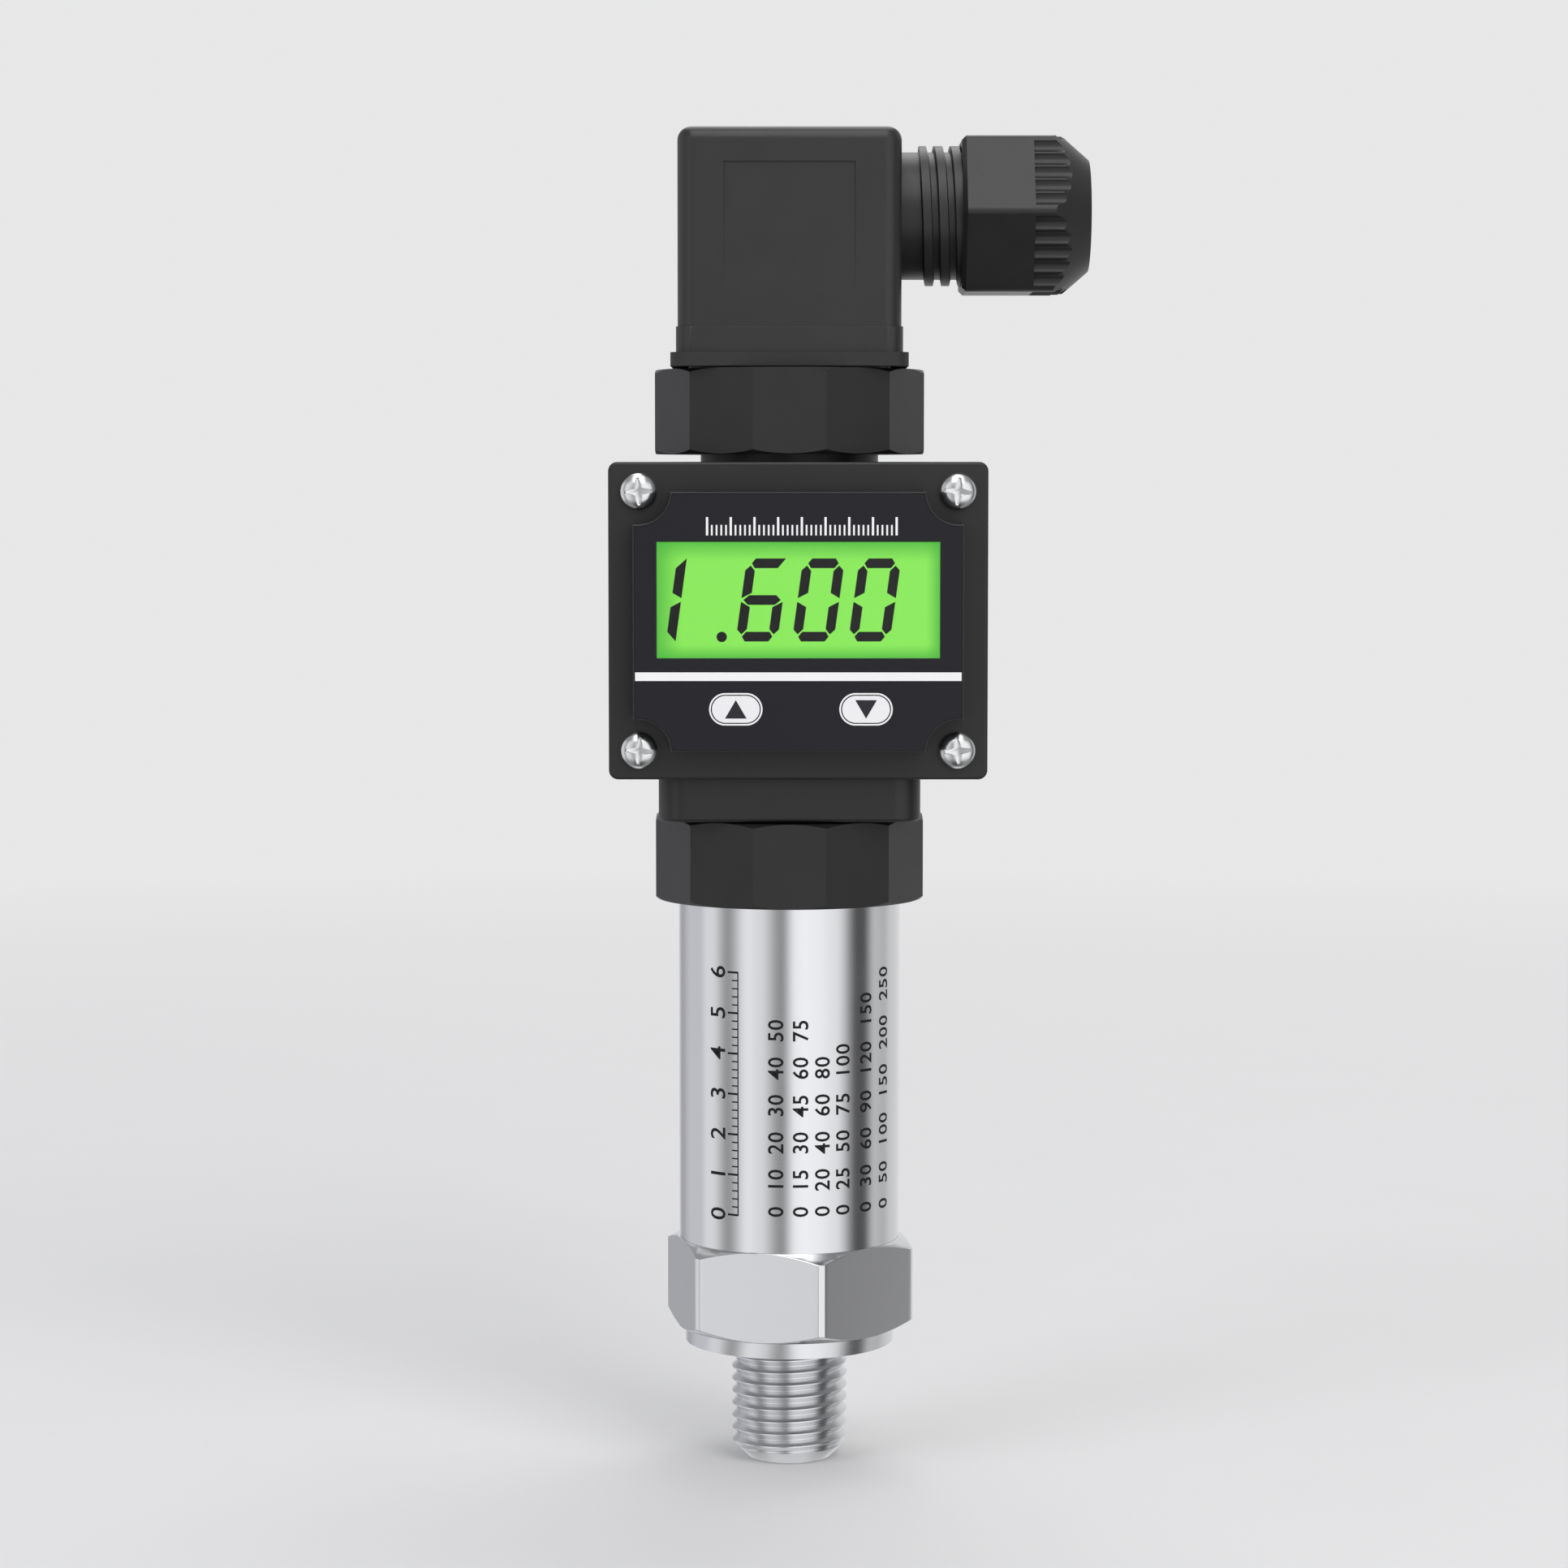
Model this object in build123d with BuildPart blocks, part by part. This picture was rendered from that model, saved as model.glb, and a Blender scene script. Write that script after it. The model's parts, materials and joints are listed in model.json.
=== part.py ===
from build123d import *
from math import cos, pi, radians, sin, tan
import os

# Pressure transmitter with a plug-in digital display and an angled cable plug.
# Millimetres. +Z runs up the body, the display faces -Y, and the cable leaves along +X.
# The origin is on the body's axis, at the sealing face under the collar, where the thread starts.

os.makedirs("parts", exist_ok=True)

# Gaps between pieces
seat_gap = 0.05
slide_gap = 0.1
skin_gap = 0.25

# Process fitting, turned from bar
thread_d = 14.0
thread_length = 14.5
thread_tip_chamfer = 2.05
pressure_bore_d = 3.2
collar_d = 25.2
collar_h = 2.0
hexagon_af = 27.0
hexagon_h = 10.8
hexagon_turn = 14.4
hexagon_edge_bevel = 0.45
corner_chamfer_angle = 30.0
fitting_spigot_h = 8.5
sensor_floor_h = 5.0

# Pressure sensor and what holds it
sensor_d = 19.0
sensor_h = 9.0
diaphragm_d = 15.0
diaphragm_recess = 0.6
o_ring_section = 1.78
o_ring_height = 3.6
sensor_pin_d = 0.6
sensor_pin_length = 7.0
sensor_pin_circle_d = 9.0
sensor_pin_count = 5
retainer_h = 3.0
retainer_hole_d = 13.0
retainer_slot_w = 2.0
retainer_slot_depth = 1.2

# Circuit boards in the steel body
board_thickness = 1.6
sensor_board_d = 21.0
sensor_board_lift = 5.8
amplifier_board_w = 19.0
amplifier_board_h = 19.0
chip_w = 9.0
chip_h = 6.0
chip_thickness = 1.8
capacitor_d = 5.0
capacitor_length = 6.0

# Steel body tube
tube_d = 26.7
tube_wall = 1.2
tube_length = 41.3

# Contact bases, each with a twelve-sided spanner grip
grip_af = 32.0
grip_h = 10.0
grip_sides = 12
grip_chamfer_angle = 40.0
base_floor = 5.0
base_wall = 1.2
lower_spigot_length = 7.0
upper_spigot_length = 8.0
upper_spigot_show = 1.0
seat_pad_margin = 1.0
seat_pad_h = 0.2
boss_d = 8.0
boss_h = 4.0
blade_w = 6.3
blade_t = 0.8
blade_h = 11.0
blade_inset = 1.8
blade_tail_w = 1.6
blade_tail_length = 2.5
blade_tip_chamfer = 0.25
contact_count = 4
insert_d = 5.4
insert_h = 9.0
screw_d = 3.0

# Flat gaskets between a base and what plugs on to it
gasket_rim = 2.9
gasket_h = 1.6
gasket_corner_r = 2.2

# Female contact blocks
block_w = 21.6
block_h = 12.0
block_lift = 0.5
block_corner_r = 1.0
block_flange_rim = 1.7
block_flange_h = 1.6
socket_wall = 0.8
socket_roof = 1.2

# Display housing
neck_wall = 1.4
neck_h = 5.2
neck_corner_r = 3.0
neck_foot_r = 0.5
box_offset_x = 1.0
box_w = 44.1
box_h = 36.9
box_corner_r = 1.1
box_wall = 2.4
box_back_wall = 2.2
housing_depth = 32.0
box_back_y = 17.5
side_groove_length = 22.0
side_groove_w = 1.8
side_groove_depth = 0.5
side_groove_share = 0.76
top_boss_wall = 1.8
top_boss_drop = 6.4

# Lid, its raised frame and its screws
lid_plate_t = 3.0
lid_edge_r = 0.35
bezel_rise = 4.5
bezel_side_step = 3.0
bezel_end_step = 3.475
bezel_wall = 1.5
bezel_edge_r = 0.12
bezel_notch_r = 3.8
screw_inset_x = 3.55
screw_inset_z = 3.425
screw_post_r = 3.0
lid_screw_d = 2.2
lid_screw_length = 9.0
lid_screw_head_d = 4.35
lid_screw_head_h = 1.7
lid_screw_head_r = 1.0
cross_w = 0.62
cross_length = 2.5
cross_depth = 0.9
lid_gasket_w = 1.0
lid_gasket_h = 0.8

# Face film, window, liquid-crystal panel and keys
film_t = 0.3
film_margin = 0.06
window_side_margin = 2.725
window_top_margin = 5.725
window_bottom_margin = 10.825
lcd_side_overlap = 0.675
lcd_end_overlap = 0.6
lcd_t = 2.0
backlight_t = 2.9
display_board_t = 1.6
key_w = 5.5
key_h = 3.1
key_rise = 4.985
key_spacing = 15.0
key_shift = 0.3
key_gap = 0.12
key_proud = 0.1
key_flange_margin = 0.5
key_flange_t = 0.6
key_travel = 0.3
key_stem_d = 2.4
switch_w = 4.5
switch_h = 2.2
plunger_d = 2.0
plunger_show = 0.9
plunger_sink = 1.0

# Cable plug
plug_wall = 2.05
plug_h = 23.2
plug_corner_r = 2.0
plug_top_r = 1.6
plug_skirt_step = 0.2
plug_skirt_h = 3.0
plug_roof = 3.0
panel_w = 15.4
panel_h = 15.5
panel_top_drop = 4.1
panel_corner_r = 1.8
panel_top_depth = 0.25
panel_bottom_depth = 0.02
plug_screw_head_d = 5.6
plug_screw_head_h = 2.0
plug_screw_washer_t = 0.8

# Cable gland
gland_axis_h = 16.55
gland_core_d = 15.2
gland_thread_d = 16.6
gland_spigot_length = 16.4
gland_ridge_first = 2.2
gland_ridge_w = 1.35
gland_ridge_pitch = 1.95
gland_ridge_count = 3
cable_hole_d = 5.2
gland_bore_d = 10.4
seal_d = 12.0
seal_length = 11.0
seal_nose_d = 10.2
seal_seat_depth = 5.0
washer_t = 1.2
washer_d = 16.2
nut_start = 7.3
nut_length = 15.25
nut_af = 18.4
nut_edge_r = 0.9
nut_back_bevel = 0.5
nut_cone_length = 2.95
nut_end_r = 6.64
nut_lip_t = 2.4
flute_r = 0.95
flute_depth = 0.5
flute_pitch = 1.85
flute_count = 5
flute_length = 3.85

# Heights and places worked out from the sizes above
hexagon_top_z = collar_h + hexagon_h
sensor_floor_z = collar_h + sensor_floor_h
sensor_top_z = sensor_floor_z + sensor_h
retainer_top_z = sensor_top_z + retainer_h
sensor_board_z = sensor_top_z + sensor_board_lift
amplifier_board_z = sensor_board_z + board_thickness
tube_bore_d = tube_d - 2 * tube_wall
tube_top_z = hexagon_top_z + tube_length
lower_base_top_z = tube_top_z + grip_h
neck_bottom_z = lower_base_top_z + seat_pad_h
box_bottom_z = neck_bottom_z + neck_h
box_top_z = box_bottom_z + box_h
box_centre_z = box_bottom_z + box_h / 2
upper_base_z = box_top_z + upper_spigot_show
upper_base_top_z = upper_base_z + grip_h
plug_bottom_z = upper_base_top_z + seat_pad_h + gasket_h
plug_top_z = plug_bottom_z + plug_skirt_h + plug_h
box_floor_z = box_bottom_z + box_wall

# Widths worked out from the contact block outwards
block_hole_w = block_w + 2 * skin_gap
blade_radius = block_w / 2 - blade_inset
upper_spigot_d = 2 * (blade_radius + blade_t / 2 + seat_gap + base_wall)
seat_pad_w = block_w + 2 * seat_pad_margin
gasket_w = block_hole_w + 2 * gasket_rim
neck_w = gasket_w + 2 * (seat_gap + neck_wall)
plug_w = block_hole_w + 2 * plug_wall
plug_skirt_w = plug_w + 2 * plug_skirt_step

# Widths and heights of the display, from the box inwards
screw_spacing_x = box_w - 2 * screw_inset_x
screw_spacing_z = box_h - 2 * screw_inset_z
bezel_w = box_w - 2 * bezel_side_step
bezel_h = box_h - 2 * bezel_end_step
window_w = bezel_w - 2 * window_side_margin
window_h = bezel_h - window_top_margin - window_bottom_margin
lcd_w = window_w + 2 * lcd_side_overlap
lcd_h = window_h + 2 * lcd_end_overlap

# Depths of the display, from the back to the front
seam_y = box_back_y - housing_depth
plate_y = seam_y - lid_plate_t
bezel_y = plate_y - bezel_rise
film_back_y = bezel_y + film_t
bezel_inner_y = bezel_y + bezel_wall
lcd_back_y = bezel_inner_y + seat_gap + lcd_t
backlight_back_y = lcd_back_y + backlight_t
board_front_y = backlight_back_y
board_back_y = board_front_y + display_board_t
switch_front_y = board_front_y - switch_h
plunger_front_y = switch_front_y - plunger_show

# Heights of what shows on the display's face, above or below the box's middle
window_z = (window_bottom_margin - window_top_margin) / 2
key_z = key_rise - bezel_h / 2
key_xs = (key_shift - key_spacing / 2, key_shift + key_spacing / 2)

# Along the gland, from the plug's side face
gland_x = plug_w / 2
gland_z = plug_bottom_z + gland_axis_h
spigot_end_x = gland_x + gland_spigot_length
nut_back_x = gland_x + nut_start
nut_end_x = nut_back_x + nut_length
washer_x = spigot_end_x + seat_gap
seal_back_x = spigot_end_x - seal_seat_depth
seal_shoulder_x = seal_back_x + seal_length - nut_lip_t
seal_nose_x = nut_end_x - skin_gap


def face_plane(y):
    """A plane on the display at depth y, seen from the front, with its origin at the box's middle."""
    return Plane(origin=(box_offset_x, y, box_centre_z), x_dir=(1, 0, 0), z_dir=(0, -1, 0))


def gland_plane(x):
    """A plane across the cable gland at x, seen along the cable's way out."""
    return Plane(origin=(x, 0, gland_z), x_dir=(0, 1, 0), z_dir=(1, 0, 0))


def contact_plane(index, z):
    """A plane at height z at one contact's place, with its X pointing away from the axis."""
    angle = radians(360 / contact_count * index)
    outward = (cos(angle), sin(angle), 0)
    origin = (blade_radius * outward[0], blade_radius * outward[1], z)
    return Plane(origin=origin, x_dir=outward, z_dir=(0, 0, 1))


def chamfered_end(flat_r, corner_r, low, high, angle):
    """Points of a turned blank that takes the corners off a spanner grip at both ends."""
    drop = (corner_r - flat_r) * tan(radians(angle))
    return [(0, low), (flat_r, low), (corner_r, low + drop), (corner_r, high - drop), (flat_r, high), (0, high)]


def save(part, label):
    """Name a finished piece and write it to its own file."""
    part.label = label
    export_step(part, f"parts/{label}.step")


# Process fitting: thread, sealing collar, hexagon and the pocket for the sensor
hexagon_corner_r = hexagon_af / 2 / cos(pi / 6)
sensor_pocket_r = sensor_d / 2 + seat_gap
with BuildPart() as process_fitting:
    with BuildSketch(Plane.XY.offset(collar_h)):
        RegularPolygon(hexagon_af / 2, 6, major_radius=False, rotation=hexagon_turn - 90)
    extrude(amount=hexagon_h)
    chamfer(process_fitting.edges().filter_by(Axis.Z), hexagon_edge_bevel)
    with BuildSketch(Plane.XZ):
        with BuildLine():
            blank = chamfered_end(hexagon_af / 2, hexagon_corner_r, collar_h, hexagon_top_z, corner_chamfer_angle)
            Polyline(*blank, close=True)
        make_face()
    revolve(axis=Axis.Z, mode=Mode.INTERSECT)
    with BuildSketch(Plane.XZ):
        with BuildLine():
            Polyline(
                (0, -thread_length),
                (thread_d / 2 - thread_tip_chamfer, -thread_length),
                (thread_d / 2, thread_tip_chamfer - thread_length),
                (thread_d / 2, 0),
                (collar_d / 2, 0),
                (collar_d / 2, collar_h),
                (tube_bore_d / 2 - seat_gap, collar_h),
                (tube_bore_d / 2 - seat_gap, hexagon_top_z + fitting_spigot_h),
                (0, hexagon_top_z + fitting_spigot_h),
                close=True,
            )
        make_face()
    revolve(axis=Axis.Z)
    with BuildSketch(Plane.XY.offset(sensor_floor_z)):
        Circle(sensor_pocket_r)
    extrude(amount=hexagon_top_z + fitting_spigot_h - sensor_floor_z, mode=Mode.SUBTRACT)
    with BuildSketch(Plane.XY.offset(-thread_length)):
        Circle(pressure_bore_d / 2)
    extrude(amount=thread_length + sensor_floor_z, mode=Mode.SUBTRACT)
save(process_fitting.part, "process_fitting")

# Sensor: a steel can with a thin diaphragm under it, a seal groove round it and pins on top
groove_depth = o_ring_section - seat_gap
groove_w = o_ring_section + 2 * seat_gap
o_ring_z = sensor_floor_z + o_ring_height
with BuildPart() as sensor_cell:
    with BuildSketch(Plane.XY.offset(sensor_floor_z)):
        Circle(sensor_d / 2)
    extrude(amount=sensor_h)
    with BuildSketch(Plane.XY.offset(sensor_floor_z)):
        Circle(diaphragm_d / 2)
    extrude(amount=diaphragm_recess, mode=Mode.SUBTRACT)
    with BuildSketch(Plane.XY.offset(o_ring_z - groove_w / 2)):
        Circle(sensor_d / 2)
        Circle(sensor_d / 2 - groove_depth, mode=Mode.SUBTRACT)
    extrude(amount=groove_w, mode=Mode.SUBTRACT)
    with BuildSketch(Plane.XY.offset(sensor_top_z)):
        with PolarLocations(sensor_pin_circle_d / 2, sensor_pin_count):
            Circle(sensor_pin_d / 2)
    extrude(amount=sensor_pin_length)
save(sensor_cell.part, "sensor_cell")

# Seal ring in the sensor's groove
with BuildPart() as sensor_o_ring:
    with BuildSketch(Plane.XZ):
        with Locations((sensor_pocket_r - o_ring_section / 2, o_ring_z)):
            Circle(o_ring_section / 2 - seat_gap / 4)
    revolve(axis=Axis.Z)
save(sensor_o_ring.part, "sensor_o_ring")

# Slotted ring that holds the sensor down
with BuildPart() as sensor_retainer:
    with BuildSketch(Plane.XY.offset(sensor_top_z)):
        Circle(sensor_pocket_r)
        Circle(retainer_hole_d / 2, mode=Mode.SUBTRACT)
    extrude(amount=retainer_h)
    with BuildSketch(Plane.XY.offset(retainer_top_z)):
        Rectangle(2 * sensor_pocket_r, retainer_slot_w)
    extrude(amount=-retainer_slot_depth, mode=Mode.SUBTRACT)
save(sensor_retainer.part, "sensor_retainer")

# Round board on the sensor's pins
with BuildPart() as sensor_board:
    with BuildSketch(Plane.XY.offset(sensor_board_z)):
        Circle(sensor_board_d / 2)
        with PolarLocations(sensor_pin_circle_d / 2, sensor_pin_count):
            Circle(sensor_pin_d / 2 + seat_gap, mode=Mode.SUBTRACT)
    extrude(amount=board_thickness)
save(sensor_board.part, "sensor_board")

# Upright amplifier board with its chips and capacitor
board_half = board_thickness / 2
with BuildPart() as amplifier_board:
    with BuildSketch(Plane.XY.offset(amplifier_board_z)):
        Rectangle(amplifier_board_w, board_thickness)
    extrude(amount=amplifier_board_h)
    chip_mid_z = amplifier_board_z + amplifier_board_h / 2
    with BuildSketch(Plane(origin=(0, -board_half, chip_mid_z), x_dir=(1, 0, 0), z_dir=(0, -1, 0))):
        Rectangle(chip_w, chip_h)
    extrude(amount=chip_thickness)
    capacitor_z = amplifier_board_z + amplifier_board_h - capacitor_d
    with BuildSketch(Plane(origin=(0, board_half, capacitor_z), x_dir=(1, 0, 0), z_dir=(0, 1, 0))):
        Circle(capacitor_d / 2)
    extrude(amount=capacitor_length)
    with BuildSketch(Plane(origin=(0, board_half, amplifier_board_z + chip_h), x_dir=(1, 0, 0), z_dir=(0, 1, 0))):
        Rectangle(chip_w, chip_h)
    extrude(amount=chip_thickness)
save(amplifier_board.part, "amplifier_board")

# Steel tube, welded on the hexagon
with BuildPart() as body_tube:
    with BuildSketch(Plane.XY.offset(hexagon_top_z)):
        Circle(tube_d / 2)
        Circle(tube_bore_d / 2, mode=Mode.SUBTRACT)
    extrude(amount=tube_length)
save(body_tube.part, "body_tube")


def contact_base(base_z, spigot_d, spigot_length):
    """Moulded base: a twelve-sided grip on a hollow threaded spigot, with slots for the blades."""
    grip_corner_r = grip_af / 2 / cos(pi / grip_sides)
    top_z = base_z + grip_h
    with BuildPart() as base:
        with BuildSketch(Plane.XY.offset(base_z)):
            RegularPolygon(grip_af / 2, grip_sides, major_radius=False, rotation=180 / grip_sides)
        extrude(amount=grip_h)
        with BuildSketch(Plane.XZ):
            with BuildLine():
                blank = chamfered_end(grip_af / 2, grip_corner_r, base_z, top_z, grip_chamfer_angle)
                Polyline(*blank, close=True)
            make_face()
        revolve(axis=Axis.Z, mode=Mode.INTERSECT)
        with BuildSketch(Plane.XY.offset(base_z)):
            Circle(spigot_d / 2)
        extrude(amount=-spigot_length)
        with BuildSketch(Plane.XY.offset(base_z - spigot_length)):
            Circle(spigot_d / 2 - base_wall)
        extrude(amount=spigot_length + grip_h - base_floor, mode=Mode.SUBTRACT)
        with BuildSketch(Plane.XY.offset(top_z)):
            RectangleRounded(seat_pad_w, seat_pad_w, block_corner_r)
        extrude(amount=seat_pad_h)
        with BuildSketch(Plane.XY.offset(top_z)):
            Circle(boss_d / 2)
        extrude(amount=boss_h)
        with BuildSketch(Plane.XY.offset(top_z + boss_h)):
            Circle(insert_d / 2)
        extrude(amount=-insert_h, mode=Mode.SUBTRACT)
        for index in range(contact_count):
            with BuildSketch(contact_plane(index, top_z - base_floor)):
                Rectangle(blade_t, blade_w)
            extrude(amount=base_floor + seat_pad_h, mode=Mode.SUBTRACT)
    return base.part


def contact_blade(index, base_z):
    """Flat brass blade through a base's floor, with a narrow tail below and bevelled tips."""
    floor_z = base_z + grip_h - base_floor
    blade_top_z = base_z + grip_h + blade_h
    with BuildPart() as blade:
        with BuildSketch(contact_plane(index, floor_z)):
            Rectangle(blade_t, blade_w)
        extrude(amount=base_floor + blade_h)
        tip = blade.edges().group_by(Axis.Z)[-1].sort_by(SortBy.LENGTH)[-2:]
        chamfer(tip, blade_tip_chamfer)
        with BuildSketch(contact_plane(index, floor_z)):
            Rectangle(blade_t, blade_tail_w)
        extrude(amount=-blade_tail_length)
    return blade.part


def threaded_insert(base_z):
    """Brass insert in a base's boss, which the centre screw turns into."""
    insert_top_z = base_z + grip_h + boss_h
    with BuildPart() as insert:
        with BuildSketch(Plane.XY.offset(insert_top_z)):
            Circle(insert_d / 2)
            Circle(screw_d / 2 + seat_gap, mode=Mode.SUBTRACT)
        extrude(amount=-insert_h)
    return insert.part


def flat_gasket(z):
    """Square rubber gasket with an opening for the contact block."""
    with BuildPart() as gasket:
        with BuildSketch(Plane.XY.offset(z)):
            RectangleRounded(gasket_w, gasket_w, gasket_corner_r)
            RectangleRounded(block_hole_w, block_hole_w, block_corner_r, mode=Mode.SUBTRACT)
        extrude(amount=gasket_h)
    return gasket.part


def contact_block(block_z):
    """Moulded block with a slot for each blade, a pocket for each socket and a hole for its screw."""
    with BuildPart() as block:
        with BuildSketch(Plane.XY.offset(block_z)):
            RectangleRounded(block_w, block_w, block_corner_r)
        extrude(amount=block_h)
        for index in range(contact_count):
            with BuildSketch(contact_plane(index, block_z)):
                Rectangle(blade_t + 2 * slide_gap, blade_w + 2 * slide_gap)
            extrude(amount=block_h, mode=Mode.SUBTRACT)
            with BuildSketch(contact_plane(index, block_z + socket_roof)):
                pocket_t = blade_t + 2 * (slide_gap + socket_wall)
                pocket_w = blade_w + 2 * (slide_gap + socket_wall)
                Rectangle(pocket_t, pocket_w)
            extrude(amount=block_h - socket_roof, mode=Mode.SUBTRACT)
        with BuildSketch(Plane.XY.offset(block_z)):
            Circle(boss_d / 2 + skin_gap)
        extrude(amount=boss_h + skin_gap, mode=Mode.SUBTRACT)
        with BuildSketch(Plane.XY.offset(block_z)):
            Circle(screw_d / 2 + slide_gap)
        extrude(amount=block_h, mode=Mode.SUBTRACT)
    return block.part


def contact_socket(index, block_z):
    """Brass sleeve that a blade slides into."""
    with BuildPart() as socket:
        with BuildSketch(contact_plane(index, block_z + socket_roof)):
            Rectangle(blade_t + 2 * (slide_gap + socket_wall), blade_w + 2 * (slide_gap + socket_wall))
            Rectangle(blade_t + 2 * slide_gap, blade_w + 2 * slide_gap, mode=Mode.SUBTRACT)
        extrude(amount=block_h - socket_roof)
    return socket.part


def centre_screw(head_z, tip_z, head_d, head_h):
    """Cheese-head screw with a cross recess, down the middle of a block."""
    with BuildPart() as screw:
        with BuildSketch(Plane.XY.offset(tip_z)):
            Circle(screw_d / 2)
        extrude(amount=head_z - tip_z)
        with BuildSketch(Plane.XY.offset(head_z)):
            Circle(head_d / 2)
        extrude(amount=head_h)
        with BuildSketch(Plane.XY.offset(head_z + head_h)):
            Rectangle(cross_length, cross_w)
            Rectangle(cross_w, cross_length)
        extrude(amount=-cross_depth, mode=Mode.SUBTRACT)
    return screw.part


# Lower contact base, in the tube's mouth, and its contacts
lower_spigot_d = tube_bore_d - 2 * seat_gap
save(contact_base(tube_top_z, lower_spigot_d, lower_spigot_length), "lower_contact_base")
save(threaded_insert(tube_top_z), "lower_insert")
for number in range(contact_count):
    save(contact_blade(number, tube_top_z), f"lower_blade_{number + 1}")
lower_gasket_z = lower_base_top_z + seat_pad_h
save(flat_gasket(lower_gasket_z), "lower_gasket")

# Contact block under the display, screwed down on the lower base
lower_block_z = lower_gasket_z + block_lift
with BuildPart() as display_contact_block:
    add(contact_block(lower_block_z))
    with BuildSketch(Plane.XY.offset(box_floor_z)):
        flange_w = block_w + 2 * block_flange_rim
        RectangleRounded(flange_w, flange_w, block_corner_r)
        RectangleRounded(block_w, block_w, block_corner_r, mode=Mode.SUBTRACT)
    extrude(amount=block_flange_h)
save(display_contact_block.part, "display_contact_block")
for number in range(contact_count):
    save(contact_socket(number, lower_block_z), f"display_socket_{number + 1}")
lower_insert_z = lower_base_top_z + boss_h - insert_h
block_screw = centre_screw(lower_block_z + block_h, lower_insert_z, plug_screw_head_d, plug_screw_head_h)
save(block_screw, "display_block_screw")

# Display housing: an open tub on a square neck, with a threaded boss in its roof
cavity_w = box_w - 2 * box_wall
cavity_h = box_h - 2 * box_wall
screw_places = GridLocations(screw_spacing_x, screw_spacing_z, 2, 2)
with BuildSketch() as cavity_outline:
    Rectangle(cavity_w, cavity_h)
    with screw_places:
        Circle(screw_post_r, mode=Mode.SUBTRACT)
groove_z = box_bottom_z + side_groove_share * box_h
with BuildPart() as display_housing:
    with BuildSketch(face_plane(box_back_y)):
        RectangleRounded(box_w, box_h, box_corner_r)
    extrude(amount=housing_depth)
    fillet(display_housing.faces().sort_by(Axis.Y)[-1].edges(), box_corner_r)
    with BuildSketch(Plane.XY.offset(neck_bottom_z)):
        RectangleRounded(neck_w, neck_w, neck_corner_r)
    extrude(amount=neck_h)
    fillet(display_housing.faces().sort_by(Axis.Z)[0].edges(), neck_foot_r)
    with BuildSketch(face_plane(box_back_y - box_back_wall)):
        add(cavity_outline.sketch)
    extrude(amount=housing_depth - box_back_wall, mode=Mode.SUBTRACT)
    top_boss_r = upper_spigot_d / 2 + top_boss_wall
    with BuildSketch(Plane.XY.offset(box_top_z - top_boss_drop)):
        Circle(top_boss_r)
    extrude(amount=top_boss_drop)
    with BuildSketch(Plane.XY.offset(box_top_z - top_boss_drop)):
        Circle(upper_spigot_d / 2 + seat_gap)
    extrude(amount=top_boss_drop, mode=Mode.SUBTRACT)
    with BuildSketch(Plane.XY.offset(neck_bottom_z)):
        skirt_w = gasket_w + 2 * seat_gap
        RectangleRounded(skirt_w, skirt_w, gasket_corner_r + seat_gap)
    extrude(amount=gasket_h, mode=Mode.SUBTRACT)
    with BuildSketch(Plane.XY.offset(neck_bottom_z)):
        block_slide_w = block_w + 2 * slide_gap
        RectangleRounded(block_slide_w, block_slide_w, block_corner_r)
    extrude(amount=box_floor_z - neck_bottom_z, mode=Mode.SUBTRACT)
    with BuildSketch(face_plane(seam_y)):
        with screw_places:
            Circle(lid_screw_d / 2 + seat_gap)
    extrude(amount=-lid_screw_length, mode=Mode.SUBTRACT)
    with BuildSketch(face_plane(seam_y)):
        offset(cavity_outline.sketch, amount=lid_gasket_w, kind=Kind.ARC)
    extrude(amount=-lid_gasket_h, mode=Mode.SUBTRACT)
    for side in (-1, 1):
        side_x = box_offset_x + side * box_w / 2
        groove_end_y = box_back_y - side_groove_length
        groove_plane = Plane(origin=(side_x, groove_end_y, groove_z), x_dir=(0, 1, 0), z_dir=(side, 0, 0))
        with BuildSketch(groove_plane):
            Circle(side_groove_w / 2)
            with Locations((side_groove_length, 0)):
                Rectangle(2 * side_groove_length, side_groove_w)
        extrude(amount=-side_groove_depth, mode=Mode.SUBTRACT)
save(display_housing.part, "display_housing")

# Rubber cord between the housing and its lid
with BuildPart() as lid_gasket:
    with BuildSketch(face_plane(seam_y)):
        offset(cavity_outline.sketch, amount=lid_gasket_w, kind=Kind.ARC)
        add(cavity_outline.sketch, mode=Mode.SUBTRACT)
    extrude(amount=-lid_gasket_h)
save(lid_gasket.part, "lid_gasket")

# Outline of the raised frame, notched round the four screws
with BuildSketch() as bezel_outline:
    Rectangle(bezel_w, bezel_h)
    with screw_places:
        Circle(bezel_notch_r, mode=Mode.SUBTRACT)

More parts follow.
